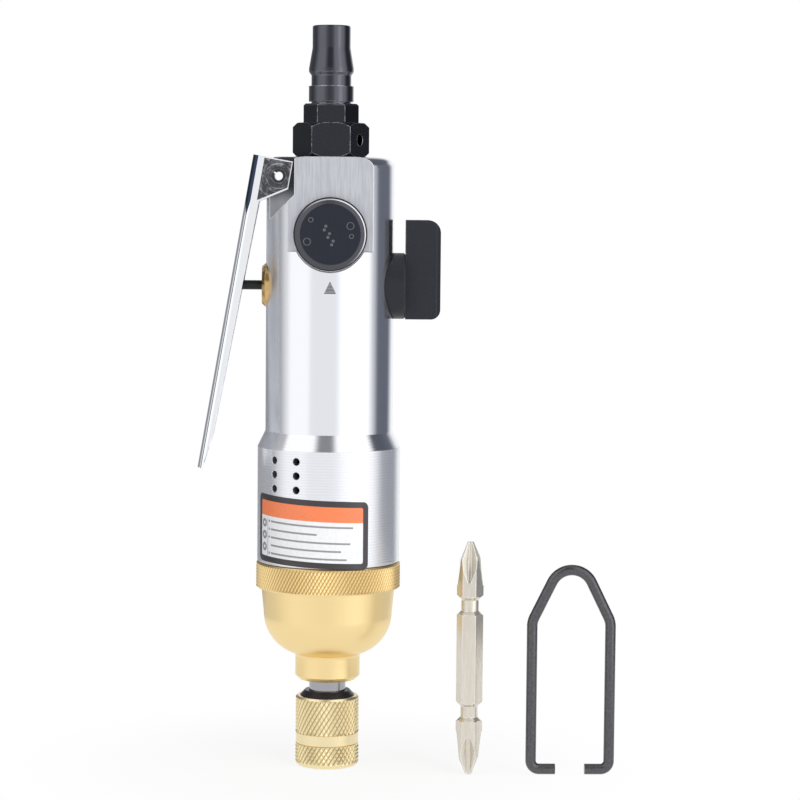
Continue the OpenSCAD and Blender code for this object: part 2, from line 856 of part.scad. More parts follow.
module reverse_spool() {
    pocket_mid = (inner_ring_x + outer_ring_x) / 2;
    pocket_from = pocket_mid - pocket_len / 2;
    color("darkgray") difference() {
        along_x(valve_z) difference() {
            bar(reverse_r - slip, reverse_end_x + free_gap, spool_end_x);
            tube_wedge(
                reverse_r + overrun, pocket_r, pocket_from, pocket_from + pocket_len, 0, pocket_angle
            );
            snap_groove(reverse_r, spot_x);
            for (x = [inner_ring_x, outer_ring_x])
                translate([0, 0, x]) o_ring(reverse_r, ring_r);
        }
        cross_pin(cross_pin_r);
    }
}

module reverse_orings() {
    color("black") along_x(valve_z) for (x = [inner_ring_x, outer_ring_x]) spool_ring(reverse_r, x);
}

module reverse_snap_ring() color("dimgray") along_x(valve_z) snap_ring(reverse_r, spot_x);

// Outer race of a ball bearing that stands on the height given
module outer_race(z) color("lightgray") tube(race_out_r - seat, race_out_r - race_wall, z, z + race_len);

// Inner race of a ball bearing, with its balls
module inner_race(z) {
    color("lightgray") {
        tube(race_r + race_wall, race_r, z + free_gap, z + race_len - free_gap);
        for (i = [0 : race_balls - 1])
            rotate([0, 0, 360 / race_balls * i]) translate([race_mid_r, 0, z + race_len / 2])
                sphere(r = race_ball_r, $fn = 24);
    }
}

module rear_plate() {
    color("silver") difference() {
        bar(cylinder_r, cylinder_top_z, chamber_top_z);
        bar(race_out_r, chamber_top_z - race_len, chamber_top_z + overrun);
        bar(plate_hole_r, cylinder_top_z - overrun, chamber_top_z);
        for (side = [-1, 1])
            translate([port_x, side * port_y, 0])
                bar(port_r, cylinder_top_z - overrun, chamber_top_z + overrun);
    }
}

module rear_bearing() outer_race(chamber_top_z - race_len);

module rear_bearing_race() inner_race(chamber_top_z - race_len);

module motor_cylinder() {
    color("lightslategray") difference() {
        bar(cylinder_r, cylinder_z, cylinder_top_z);
        translate([bore_offset, 0, 0]) bar(cylinder_bore_r, cylinder_z - overrun, cylinder_top_z + overrun);
        translate([dowel_x, 0, 0]) bar(dowel_r, cylinder_z - overrun, cylinder_z + dowel_len / 2);
        for (row = [1 : exhaust_rows], column = [-1 : 1])
            rotate([0, 0, column * cylinder_vent_step])
                along_x(cylinder_z + row * exhaust_pitch - exhaust_drop / 2)
                    bar(cylinder_vent_r, rotor_r, cylinder_r + overrun);
    }
}

module cylinder_dowel() {
    half_len = dowel_len / 2;
    color("lightgray") translate([dowel_x, 0, 0])
        bar(dowel_r - seat, cylinder_z - half_len, cylinder_z + half_len);
}

module rotor() {
    body_z = cylinder_z + rotor_gap;
    body_top_z = cylinder_top_z - rotor_gap;
    color("gray") difference() {
        union() {
            bar(rotor_r, body_z, body_top_z);
            bar(race_r - seat, case_top_z, chamber_top_z - edge);
            hex_bar(drive_flats, case_top_z - drive_len, case_top_z);
        }
        for (i = [0 : vane_count - 1])
            rotate([0, 0, 360 / vane_count * i])
                translate([slot_floor_r, -vane_w / 2 - slip, body_z - overrun])
                    cube([rotor_r, vane_w + 2 * slip, body_top_z - body_z + 2 * overrun]);
    }
}

module vanes() {
    color("saddlebrown") for (i = [0 : vane_count - 1])
        rotate([0, 0, 360 / vane_count * i])
            translate([slot_floor_r + slip, -vane_w / 2, cylinder_z + rotor_gap])
                cube([rotor_r + vane_proud - slot_floor_r - slip, vane_w, cylinder_len - 2 * rotor_gap]);
}

module front_plate() {
    color("silver") difference() {
        bar(case_thread_r, case_top_z, cylinder_z);
        bar(race_out_r, case_top_z - overrun, case_top_z + race_len);
        bar(plate_hole_r, case_top_z, cylinder_z + overrun);
        translate([dowel_x, 0, 0]) bar(dowel_r, cylinder_z - dowel_len / 2, cylinder_z + overrun);
    }
}

module front_bearing() outer_race(case_top_z);

module front_bearing_race() inner_race(case_top_z);

module hammer_cage() {
    pillar_top = cage_back_z + cage_back_len;
    color("slategray") difference() {
        union() {
            bar(cage_r, cage_z, cage_z + cage_plate_len);
            bar(cage_r, cage_back_z, pillar_top);
            bar(cage_boss_r, pillar_top, cage_top_z);
            for (heading = [0, 180])
                tube_wedge(
                    cage_r - edge, cage_r - edge - cage_pillar_w, cage_z + edge, cage_back_z + edge,
                    heading, 2 * cage_pillar_angle
                );
        }
        bar(cage_hole_r, cage_z - overrun, cage_z + cage_plate_len + overrun);
        bar(pilot_r + slip, cage_back_z - overrun, cage_back_z + pilot_len + slip);
        hex_bar(drive_flats + 2 * slip, case_top_z - drive_len - slip, case_top_z);
        for (side = [-1, 1])
            translate([side * hammer_pin_at, 0, 0])
                bar(hammer_pin_r + seat, cage_z - overrun, pillar_top + overrun);
    }
}

module hammer_pins() {
    color("lightgray") for (side = [-1, 1])
        translate([side * hammer_pin_at, 0, 0])
            bar(hammer_pin_r, cage_z, cage_back_z + cage_back_len);
}

// One hammer ring that swings on the pin at +X and strikes with a lobe at +Y
module hammer_ring(z) {
    top = z + hammer_len;
    color("darkslategray") difference() {
        union() {
            tube(hammer_r, hammer_bore_r, z, top);
            tube_wedge(hammer_bore_r + edge, hammer_lobe_r, z, top, 90, lobe_angle);
        }
        translate([hammer_pin_at, 0, 0]) bar(hammer_pin_r + slip, z - overrun, top + overrun);
        translate([-hammer_r - overrun, -hammer_notch_w / 2, z - overrun])
            cube([hammer_r + overrun - hammer_notch_r, hammer_notch_w, hammer_len + 2 * overrun]);
    }
}

module front_hammer() hammer_ring(front_hammer_z);

module rear_hammer() rotate([0, 0, 180]) hammer_ring(rear_hammer_z);

// Half of the section of the bell, from the neck up to the flange
module bell_section() {
    centre_r = bell_r - bell_round;
    round_z = bell_z + bell_round;
    intersection() {
        union() {
            translate([centre_r, round_z]) circle(r = bell_round);
            translate([0, bell_z]) square([centre_r, bell_len]);
            polygon([[0, round_z], [bell_r, round_z], [bell_top_r, flange_z], [0, flange_z]]);
        }
        translate([0, bell_z]) square([bell_top_r + overrun, bell_len]);
    }
}

module hammer_case() {
    color("#c9a45c") difference() {
        union() {
            bar(case_thread_r, skirt_z, case_top_z);
            bar(flange_r, flange_z + edge, skirt_z - edge);
            taper(flange_r - edge, flange_r, flange_z, flange_z + edge);
            taper(flange_r, flange_r - edge, skirt_z - edge, skirt_z);
            rotate_extrude() bell_section();
            bar(neck_r, neck_z + neck_chamfer, bell_z + edge);
            taper(neck_r - neck_chamfer, neck_r, neck_z, neck_z + neck_chamfer);
        }
        bar(case_bore_r, case_floor_z, case_top_z + overrun);
        bar(shank_r + bush_wall, neck_z - overrun, case_floor_z + overrun);
        translate([0, 0, bell_z]) o_ring(neck_r, neck_groove_r);
    }
}

module anvil_bush() {
    color("peru") tube(shank_r + bush_wall - seat, shank_r + slip, neck_z, case_floor_z);
}

module thrust_washer() {
    color("lightgray") tube(washer_r, shank_r + rest_gap, case_floor_z, case_floor_z + washer_len);
}

module anvil() {
    socket_corner_r = socket_flats / sqrt(3);
    jaw_top = rear_hammer_z + hammer_len;
    shank_ring_z = retainer_z + retainer_flange + retainer_rise - shank_ring_len;
    color("lightsteelblue") difference() {
        union() {
            bar(shank_r, mouth_z + mouth_chamfer, cage_z);
            taper(shank_r - mouth_chamfer, shank_r, mouth_z, mouth_z + mouth_chamfer);
            bar(cage_hole_r - rest_gap, cage_z, cage_z + cage_plate_len);
            bar(jaw_core_r, cage_z, jaw_top);
            bar(pilot_r, jaw_top, cage_back_z + pilot_len);
            tube_wedge(
                jaw_r, jaw_core_r - edge, front_hammer_z, front_hammer_z + hammer_len,
                jaw_heading, jaw_angle
            );
            tube_wedge(jaw_r, jaw_core_r - edge, rear_hammer_z, jaw_top, jaw_heading + 180, jaw_angle);
        }
        rotate([0, 0, 30]) hex_bar(socket_flats, mouth_z - overrun, mouth_z + socket_len);
        taper(
            socket_corner_r + 2 * mouth_chamfer, socket_corner_r - mouth_chamfer,
            mouth_z - mouth_chamfer, mouth_z + 2 * mouth_chamfer
        );
        along_x(ball_z) bar(ball_r + slip, 0, shank_r + overrun);
        tube(shank_r + overrun, shank_r - nose_ring_bite, nose_ring_z, nose_ring_z + nose_ring_len);
        tube(shank_r + overrun, shank_r - shank_ring_bite, shank_ring_z, shank_ring_z + shank_ring_len);
    }
}

module nose_ring() {
    color("dimgray") split_ring(
        nose_ring_r, shank_r - nose_ring_bite, nose_ring_z, nose_ring_z + nose_ring_len, ring_slit
    );
}

module locking_ball() color("lightgray") translate([ball_at, 0, ball_z]) sphere(r = ball_r);

module chuck_sleeve() {
    band_top = band_z + band_len;
    color("#d8bd86") difference() {
        union() {
            mirror([0, 0, 1]) round_bar(sleeve_r, -band_z, 0, sleeve_round);
            bar(sleeve_r - band_depth, band_z, band_top);
            bar(sleeve_r, band_top, sleeve_len - sleeve_top_chamfer);
            taper(sleeve_r, sleeve_r - sleeve_top_chamfer, sleeve_len - sleeve_top_chamfer, sleeve_len);
        }
        bar(nose_ring_r + rest_gap, -overrun, lip_z);
        bar(land_r, 0, sleeve_len);
        bar(recess_r, lip_z + lip_len, recess_z);
        taper(recess_r, ramp_r - ramp_share * ramp_over, recess_z, land_z);
        bar(sleeve_r - sleeve_wall, spring_floor_z, sleeve_len + overrun);
    }
}

module sleeve_spring() {
    mid_r = (land_r + sleeve_r - sleeve_wall) / 2;
    color("lightgray") translate([0, 0, spring_floor_z])
        coil(mid_r, sleeve_wire_r, retainer_z - spring_floor_z, sleeve_turns);
}

module spring_retainer() {
    flange_top = retainer_z + retainer_flange;
    shank_ring_z = flange_top + retainer_rise - shank_ring_len;
    color("black") difference() {
        union() {
            bar(retainer_r, retainer_z, flange_top);
            taper(retainer_r, retainer_top_r, flange_top, flange_top + retainer_rise);
        }
        bar(shank_r + seat, retainer_z - overrun, flange_top + retainer_rise + overrun);
        bar(shank_r + shank_ring_w, shank_ring_z, flange_top + retainer_rise + overrun);
    }
}

module shank_snap_ring() {
    shank_ring_z = retainer_z + retainer_flange + retainer_rise - shank_ring_len;
    color("dimgray") split_ring(
        shank_r + shank_ring_w - seat, shank_r - shank_ring_bite,
        shank_ring_z, shank_ring_z + shank_ring_len, ring_slit
    );
}

// Both ends of the bit, each seen from its own point upwards
module at_bit_ends() {
    for (end = [0, 1]) translate([0, 0, end * bit_len]) mirror([0, 0, end]) children();
}

// The cone that trims the hexagon to a point, with its tip bevelled
module bit_point() {
    taper(bit_tip_r - bit_tip_bevel, bit_tip_r, 0, bit_tip_bevel);
    taper(bit_tip_r, bit_flats, bit_tip_bevel, bit_cone_top);
}

// The turned groove of the shank, and the four flutes that leave the wings of the cross
module bit_cuts() {
    corner_r = bit_flats / sqrt(3);
    groove_top = bit_groove_at + bit_groove_len;
    rotate_extrude() polygon([
        [bit_groove_r, bit_groove_at + bit_neck_len], [corner_r, bit_groove_at],
        [bit_flats, bit_groove_at], [bit_flats, groove_top],
        [corner_r, groove_top], [bit_groove_r, groove_top - bit_neck_len]
    ]);
    for (turn = [0 : 90 : 270]) rotate([0, 0, turn]) bit_flute();
}

// The rim of the grinding wheel that leaves one flute: its floor is an arc that runs out on the shank
module bit_flute() {
    wheel_x = bit_flute_in + sqrt(bit_wheel_r * bit_wheel_r - bit_wheel_drop * bit_wheel_drop);
    half_w = bit_flute_w / 2;
    flank_r = bit_wheel_r - bit_flute_bevel;
    inner_r = flank_r - bit_flats;
    inner_w = half_w + bit_flats * tan(bit_flute_open);
    translate([wheel_x, 0, -bit_wheel_drop]) rotate([90, 0, 0]) rotate_extrude() polygon([
        [bit_wheel_r, bit_flute_bevel - half_w], [bit_wheel_r, half_w - bit_flute_bevel],
        [flank_r, half_w], [inner_r, inner_w], [inner_r, -inner_w], [flank_r, -half_w]
    ]);
}

module driver_bit() {
    color("gainsboro") translate([bit_x, kit_y, 0]) rotate([0, 0, bit_turn]) difference() {
        intersection() {
            hex_bar(bit_flats, 0, bit_len);
            union() {
                bar(bit_flats, bit_cone_top, bit_len - bit_cone_top);
                at_bit_ends() bit_point();
            }
        }
        at_bit_ends() bit_cuts();
    }
}

// Points along an arc in the loop's plane, from one heading to another
function arc_points(x, z, arc_r, from, to, steps) =
    [for (i = [0 : steps])
        let (a = from + (to - from) * i / steps) [x + arc_r * cos(a), z + arc_r * sin(a)]];

// A round wire along a row of points in the XZ plane, square to the row at each point
module wire(points, r, sides) {
    last = len(points) - 1;
    function heading(i) =
        let (a = points[max(i - 1, 0)], b = points[min(i + 1, last)]) atan2(b[1] - a[1], b[0] - a[0]);
    function ring_point(i, j) =
        let (out = r * cos(360 / sides * j), h = heading(i))
        [points[i][0] + out * sin(h), r * sin(360 / sides * j), points[i][1] - out * cos(h)];
    skin = [for (i = [0 : last], j = [0 : sides - 1]) ring_point(i, j)];
    walls = [for (i = [0 : last - 1], j = [0 : sides - 1])
        let (k = (j + 1) % sides, p = i * sides)
        for (t = [[p + j, p + k, p + sides + k], [p + j, p + sides + k, p + sides + j]]) t];
    first_end = [for (j = [1 : sides - 2]) [0, j + 1, j]];
    last_end = [for (j = [1 : sides - 2]) [last * sides, last * sides + j, last * sides + j + 1]];
    polyhedron(skin, concat(walls, first_end, last_end));
}

module hanger() {
    side_x = hanger_w / 2 - wire_r;
    foot_x = side_x - hanger_foot_round;
    apex_z = hanger_h - wire_r - hanger_top_round;
    lean_z = apex_z + hanger_top_round * sin(hanger_lean);
    lean_run = (side_x - hanger_top_round * cos(hanger_lean)) / sin(hanger_lean);
    bend_z = lean_z - lean_run * cos(hanger_lean) - hanger_side_round * tan(hanger_lean / 2);
    bend_steps = 6;
    lean_steps = 4;
    wire_sides = 16;
    right_side = concat(
        [[hanger_gap / 2, wire_r]],
        arc_points(foot_x, wire_r + hanger_foot_round, hanger_foot_round, -90, 0, bend_steps),
        arc_points(side_x - hanger_side_round, bend_z, hanger_side_round, 0, hanger_lean, lean_steps),
        arc_points(0, apex_z, hanger_top_round, hanger_lean, 90, bend_steps)
    );
    turned = [for (i = [len(right_side) - 2 : -1 : 0]) [-right_side[i][0], right_side[i][1]]];
    color("#4a4c50") translate([hanger_x, kit_y, 0]) wire(concat(right_side, turned), wire_r, wire_sides);
}

housing();
inlet_bushing();
inlet_screen();
inlet_seal();
air_plug();
throttle_lever();
lever_pin();
throttle_bush();
throttle_stem();
throttle_seal();
throttle_spring();
throttle_orings();
regulator_knob();
regulator_spool();
regulator_oring();
regulator_snap_ring();
reverse_wing();
reverse_spool();
reverse_pin();
reverse_orings();
reverse_snap_ring();
rear_plate();
rear_bearing();
rear_bearing_race();
motor_cylinder();
cylinder_dowel();
rotor();
vanes();
front_plate();
front_bearing();
front_bearing_race();
hammer_cage();
hammer_pins();
front_hammer();
rear_hammer();
hammer_case();
anvil_bush();
thrust_washer();
anvil();
locking_ball();
chuck_sleeve();
sleeve_spring();
spring_retainer();
shank_snap_ring();
nose_ring();
driver_bit();
hanger();
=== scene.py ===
"""Looks of the pneumatic screwdriver: finishes, knurls, label, marks, studio and camera."""
import json
import math

import bpy
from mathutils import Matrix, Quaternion, Vector


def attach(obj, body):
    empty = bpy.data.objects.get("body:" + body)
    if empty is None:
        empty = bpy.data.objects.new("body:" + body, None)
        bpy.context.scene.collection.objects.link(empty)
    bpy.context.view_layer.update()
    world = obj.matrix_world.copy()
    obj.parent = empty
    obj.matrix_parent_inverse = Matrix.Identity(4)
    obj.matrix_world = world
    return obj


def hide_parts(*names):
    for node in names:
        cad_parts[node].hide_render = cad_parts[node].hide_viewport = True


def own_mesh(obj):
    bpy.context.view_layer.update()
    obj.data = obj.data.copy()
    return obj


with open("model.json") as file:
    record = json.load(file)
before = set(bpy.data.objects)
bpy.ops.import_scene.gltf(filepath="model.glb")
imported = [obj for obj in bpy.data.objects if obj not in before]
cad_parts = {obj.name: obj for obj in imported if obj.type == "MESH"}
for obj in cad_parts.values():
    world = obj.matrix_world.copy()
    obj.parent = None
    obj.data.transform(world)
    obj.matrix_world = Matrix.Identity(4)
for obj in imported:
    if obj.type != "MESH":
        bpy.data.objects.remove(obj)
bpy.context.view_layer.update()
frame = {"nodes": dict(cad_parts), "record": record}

MM = 0.001
FRONT = math.radians(270)
WHITE = (1, 1, 1, 1)

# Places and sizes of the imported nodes, which the finishes and the added pieces follow
BARREL_R = 17.7 * MM
SKIRT_R = 19.85 * MM
SHOULDER_Z = 89.8 * MM
FLAT_Z, FLAT_Y = 144.1 * MM, -13.3 * MM
POCKET_Z, POCKET_X = 150.5 * MM, -9.9 * MM
VALVE_Z = 134.5 * MM
REGULATOR_Z = 148.9 * MM
KNOB_FACE_Y, KNOB_BEVEL_R = -19.4 * MM, 8.1 * MM
PLUG_ROUND_Z = 184.0 * MM
KIT_Y = -12.5 * MM
LEVER_PIVOT = (-14.3 * MM, 0.0, 164.6 * MM)
LEVER_LEAN = math.radians(9.9)
LEVER_PIVOT_U, LEVER_PIVOT_V = 7.85 * MM, 4.57 * MM
STEM_TRAVEL, SLEEVE_TRAVEL = 4.364 * MM, 3.2 * MM


# Node helpers

def node(tree, kind, settings=None, **inputs):
    """Adds a shader node; an input takes a value or another node's output."""
    made = tree.nodes.new(kind)
    for key, value in (settings or {}).items():
        setattr(made, key, value)
    for key, value in inputs.items():
        feed(tree, made.inputs[key.replace("_", " ")], value)
    return made


def feed(tree, socket, value):
    if isinstance(value, bpy.types.NodeSocket):
        tree.links.new(value, socket)
    else:
        socket.default_value = value


def calc(tree, operation, *values):
    made = node(tree, "ShaderNodeMath", {"operation": operation})
    for socket, value in zip(made.inputs, values):
        feed(tree, socket, value)
    return made.outputs[0]


def both(tree, *masks):
    """Is 1 where every mask is 1."""
    result = masks[0]
    for mask in masks[1:]:
        result = calc(tree, "MULTIPLY", result, mask)
    return result


def above(tree, value, limit):
    return calc(tree, "GREATER_THAN", value, limit)


def below(tree, value, limit):
    return calc(tree, "LESS_THAN", value, limit)


def spread(tree, value, low, high, to_low, to_high):
    """Maps a value from one range to another, held at both ends."""
    made = node(tree, "ShaderNodeMapRange", {"interpolation_type": "SMOOTHSTEP"})
    for socket, item in zip(made.inputs, (value, low, high, to_low, to_high)):
        feed(tree, socket, item)
    return made.outputs[0]


def contrast(tree, noise):
    """Noise drawn out to run from 0 to 1."""
    return spread(tree, noise, 0.35, 0.65, 0.0, 1.0)


def wander(tree, noise, limits):
    """A value that wanders between two limits with the noise."""
    return spread(tree, noise, 0.3, 0.7, *limits)


def blend_colors(tree, factor, low, high):
    made = node(tree, "ShaderNodeMix", {"data_type": "RGBA"})
    feed(tree, made.inputs[0], factor)
    for socket, color in ((made.inputs[6], low), (made.inputs[7], high)):
        feed(tree, socket, color if isinstance(color, bpy.types.NodeSocket) else (*color, 1))
    return made.outputs[2]


def place(tree):
    """The point on the surface, in metres."""
    return node(tree, "ShaderNodeTexCoord").outputs["Object"]


def facing(tree):
    """The way that the surface faces, as x, y and z."""
    return parts_of(tree, node(tree, "ShaderNodeTexCoord").outputs["Normal"])


def parts_of(tree, vector):
    return node(tree, "ShaderNodeSeparateXYZ", Vector=vector).outputs


def size_of(tree, *values):
    """The length of a vector that has these parts."""
    squares = [calc(tree, "MULTIPLY", value, value) for value in values]
    total = squares[0]
    for square in squares[1:]:
        total = calc(tree, "ADD", total, square)
    return calc(tree, "SQRT", total)


def grain(tree, scale, detail=3.0, stretch=(1, 1, 1)):
    """Noise over the surface, with a size in cells per metre, stretched along the axes."""
    mapping = node(tree, "ShaderNodeMapping", Vector=place(tree), Scale=stretch)
    return node(
        tree, "ShaderNodeTexNoise", Vector=mapping.outputs[0], Scale=scale, Detail=detail
    ).outputs["Fac"]


def tool_marks(tree, pitch, axis=2, centre=(0, 0, 0), detail=2.0):
    """Fine rings that a lathe leaves about an axis, on walls and on faces alike."""
    moved = node(tree, "ShaderNodeVectorMath", {"operation": "SUBTRACT"})
    feed(tree, moved.inputs[0], place(tree))
    feed(tree, moved.inputs[1], centre)
    xyz = parts_of(tree, moved.outputs[0])
    radius = size_of(tree, *[xyz[i] for i in range(3) if i != axis])
    run = calc(tree, "DIVIDE", calc(tree, "ADD", xyz[axis], radius), pitch)
    return node(
        tree, "ShaderNodeTexNoise", {"noise_dimensions": "1D"}, W=run, Scale=1.0, Detail=detail
    ).outputs["Fac"]


def feed_lines(tree, height, pitch):
    """Even rings at a lathe's feed, from 0 in a groove to 1 on a crest."""
    wave = calc(tree, "SINE", calc(tree, "MULTIPLY", height, 2 * math.pi / pitch))
    return calc(tree, "MULTIPLY_ADD", wave, 0.5, 0.5)


def rounded(tree, width):
    """The normal as it is where edges are broken to this radius."""
    return node(tree, "ShaderNodeBevel", {"samples": 6}, Radius=width).outputs[0]


def bump(tree, shader, height, depth, rounding=None):
    made = node(tree, "ShaderNodeBump", Height=height, Distance=depth)
    if rounding:
        feed(tree, made.inputs["Normal"], rounded(tree, rounding))
    tree.links.new(made.outputs[0], shader.inputs["Normal"])


def edge_mask(tree, width):
    """Is 1 along sharp edges and 0 on open faces."""
    hard = node(tree, "ShaderNodeNewGeometry").outputs["Normal"]
    turned = node(tree, "ShaderNodeVectorMath", {"operation": "DOT_PRODUCT"})
    feed(tree, turned.inputs[0], rounded(tree, width))
    feed(tree, turned.inputs[1], hard)
    return spread(tree, turned.outputs["Value"], 0.88, 0.99, 1.0, 0.0)


def material(name, color, metallic, roughness, **sockets):
    made = bpy.data.materials.new(name)
    made.use_nodes = True
    shader = made.node_tree.nodes["Principled BSDF"]
    shader.inputs["Base Color"].default_value = (*color, 1)
    shader.inputs["Metallic"].default_value = metallic
    shader.inputs["Roughness"].default_value = roughness
    for key, value in sockets.items():
        shader.inputs[key.replace("_", " ")].default_value = value
    return made, made.node_tree, shader


def paint(tree, shader, color, roughness):
    feed(tree, shader.inputs["Base Color"], color)
    feed(tree, shader.inputs["Roughness"], roughness)


def scaled(color, share):
    return tuple(share * value for value in color)


# Finishes

ALUMINIUM = (0.85, 0.86, 0.89)


def turned_metal(name, color, dull, roughness, pitch, depth, axis=2, centre=(0, 0, 0)):
    """Lathe-turned metal: fine rings in relief, and a little unevenness in colour and gloss."""
    made, tree, shader = material(name, color, 1.0, roughness[0])
    rings = tool_marks(tree, pitch, axis, centre)
    gloss = spread(tree, rings, 0.25, 0.75, *roughness)
    paint(tree, shader, blend_colors(tree, contrast(tree, rings), color, dull), gloss)
    bump(tree, shader, rings, depth, 0.15 * MM)
    return made


def housing_masks(tree, xyz):
    """Where the housing is milled flat, cut out for the lever, drilled, and below its shoulder."""
    skin, margin = 0.08 * MM, 0.2 * MM
    radius = size_of(tree, xyz[0], xyz[1])
    from_flat = calc(tree, "ABSOLUTE", calc(tree, "SUBTRACT", xyz[1], FLAT_Y))
    flat = both(tree, below(tree, from_flat, skin), above(tree, xyz[2], FLAT_Z - 0.1 * MM))
    pocket = both(
        tree, below(tree, radius, BARREL_R - skin), below(tree, xyz[0], POCKET_X + margin),
        above(tree, xyz[1], FLAT_Y + margin), above(tree, xyz[2], POCKET_Z),
    )
    in_skirt = below(tree, radius, SKIRT_R - 0.25 * MM)
    hole = both(tree, in_skirt, below(tree, xyz[2], SHOULDER_Z - 1.0 * MM))
    return flat, pocket, hole, below(tree, xyz[2], SHOULDER_Z)


def housing_color(tree, height, masks, feed_ring, fine, strokes):
    """Lined walls, brushed flat, painted shade in the pockets and holes, and painted highlights on the
    corners at the top.
    """
    bright, dull = ALUMINIUM, (0.74, 0.75, 0.79)
    milled, brushed = (0.64, 0.65, 0.69), (0.54, 0.55, 0.59)
    shaded, pocket_lit = (0.05, 0.055, 0.065), (0.40, 0.41, 0.43)
    corner_highlight, hole_shade = (0.97, 0.97, 0.98), (0.16, 0.165, 0.18)
    shade_from, shade_to = 156.5 * MM, 162 * MM
    flat, pocket, hole, low_down = masks
    lines = calc(tree, "MULTIPLY", feed_ring, spread(tree, low_down, 0.0, 1.0, 0.12, 0.5))
    lines = calc(tree, "ADD", lines, spread(tree, fine, 0.4, 0.7, 0.0, 0.12))
    turned = blend_colors(tree, lines, bright, dull)
    ground = blend_colors(tree, spread(tree, strokes, 0.35, 0.7, 0.0, 1.0), milled, brushed)
    # Painted shade: the lever's pocket darkens upwards towards the ear.
    deep = blend_colors(tree, spread(tree, height, shade_from, shade_to, 0.0, 1.0), pocket_lit, shaded)
    colors = blend_colors(tree, pocket, blend_colors(tree, flat, turned, ground), deep)
    # Painted highlight along the edges of the head, above the flat's lower end.
    corner = both(tree, edge_mask(tree, 0.35 * MM), above(tree, height, FLAT_Z + 0.3 * MM))
    colors = blend_colors(tree, corner, colors, corner_highlight)
    # Painted shade inside the exhaust holes.
    return blend_colors(tree, hole, colors, hole_shade)


def housing_finish():
    """Aluminium: bright turned walls with the lathe's feed lines, and matt milled faces."""
    matter_low, matter_cut, matter_by_lever = 0.06, 0.22, 0.22
    made, tree, shader = material("turned_aluminium", ALUMINIUM, 1.0, 0.14)
    xyz = parts_of(tree, place(tree))
    masks = housing_masks(tree, xyz)
    flat, pocket, hole, low_down = masks
    cut = calc(tree, "MAXIMUM", flat, pocket)
    feed_ring = feed_lines(tree, xyz[2], 0.78 * MM)
    fine = tool_marks(tree, 0.13 * MM)
    strokes = grain(tree, 3200, 3.0, (1, 1, 0.06))
    gloss = calc(tree, "MULTIPLY_ADD", low_down, matter_low, wander(tree, fine, (0.12, 0.17)))
    to_left = spread(tree, xyz[0], -15.5 * MM, -12.5 * MM, matter_by_lever, 0.0)
    gloss = calc(tree, "ADD", gloss, both(tree, to_left, calc(tree, "SUBTRACT", 1.0, low_down)))
    gloss = calc(tree, "MULTIPLY_ADD", calc(tree, "MAXIMUM", cut, hole), matter_cut, gloss)
    paint(tree, shader, housing_color(tree, xyz[2], masks, feed_ring, fine, strokes), gloss)
    body = calc(tree, "MULTIPLY_ADD", low_down, -0.28, 1.0)
    feed(tree, shader.inputs["Metallic"], calc(tree, "MULTIPLY_ADD", hole, -0.5, body))
    turned_relief = calc(tree, "MULTIPLY", feed_ring, spread(tree, low_down, 0.0, 1.0, 0.12, 0.8))
    relief = calc(tree, "MULTIPLY_ADD", fine, 0.05, turned_relief)
    relief = calc(tree, "MULTIPLY_ADD", strokes, calc(tree, "MULTIPLY", cut, 0.12), relief)
    bump(tree, shader, relief, 0.03 * MM, 0.3 * MM)
    return made


def plug_highlight_bands(tree):
    """A painted highlight: 1 on the plug's round part towards its sides, and less where it faces straight to
    the front or back.
    """
    xyz = parts_of(tree, place(tree))
    aside = calc(tree, "DIVIDE", xyz[0], size_of(tree, xyz[0], xyz[1]))
    from_middle = calc(tree, "ABSOLUTE", calc(tree, "ADD", aside, 0.06))
    highlight_off_middle = spread(tree, from_middle, 0.02, 0.3, 0.15, 1.0)
    return both(tree, above(tree, xyz[2], PLUG_ROUND_Z), highlight_off_middle)


def black_oxide(name, dark, roughness, turned=None):
    """Blackened steel, with bare metal along its worn edges and faint turning lines.

    Turned is the lighter tone of the plug's round part, if it has one; it is laid on as painted highlight
    bands to the sides."""
    bare = (0.62, 0.62, 0.65)
    made, tree, shader = material(name, dark, 1.0, roughness[0])
    patchy = spread(tree, grain(tree, 900, 4.0), 0.38, 0.58, 0.25, 1.0)
    worn = calc(tree, "MULTIPLY", edge_mask(tree, 0.34 * MM), patchy)
    skin = blend_colors(tree, contrast(tree, grain(tree, 2400, 2.0)), dark, scaled(dark, 1.2))
    if turned:
        # Painted highlight bands on the sides of the plug's round part.
        skin = blend_colors(tree, plug_highlight_bands(tree), skin, turned)
    gloss = wander(tree, grain(tree, 1500), roughness)
    paint(tree, shader, blend_colors(tree, worn, skin, bare), gloss)
    bump(tree, shader, tool_marks(tree, 0.12 * MM), 0.001 * MM, 0.25 * MM)
    return made


def lever_place(tree, xyz):
    """Where a point lies on the leaning lever: inwards from its outer face, and up along it."""
    east = calc(tree, "SUBTRACT", xyz[0], LEVER_PIVOT[0])
    up = calc(tree, "SUBTRACT", xyz[2], LEVER_PIVOT[2])
    sine, cosine = math.sin(LEVER_LEAN), math.cos(LEVER_LEAN)
    inwards = calc(tree, "MULTIPLY_ADD", east, cosine, LEVER_PIVOT_U)
    across = calc(tree, "SUBTRACT", inwards, calc(tree, "MULTIPLY", up, sine))
    upwards = calc(tree, "MULTIPLY_ADD", up, cosine, -LEVER_PIVOT_V)
    return across, calc(tree, "MULTIPLY_ADD", east, sine, upwards)


def lever_bend_reflection(tree, y, across, along):
    """Is 1 on the painted dark reflection along the lever's bends, which narrows downwards."""
    narrow_z, wide_z, half_w = -17.0 * MM, -12.0 * MM, 5.4 * MM
    far_end = spread(tree, along, narrow_z, wide_z, 1.05, 1.5)
    near_end = spread(tree, along, narrow_z, wide_z, 0.85, 0.04)
    measured = calc(tree, "DIVIDE", across, MM)
    return both(
        tree, below(tree, measured, far_end), above(tree, measured, near_end),
        above(tree, calc(tree, "ABSOLUTE", y), half_w),
    )


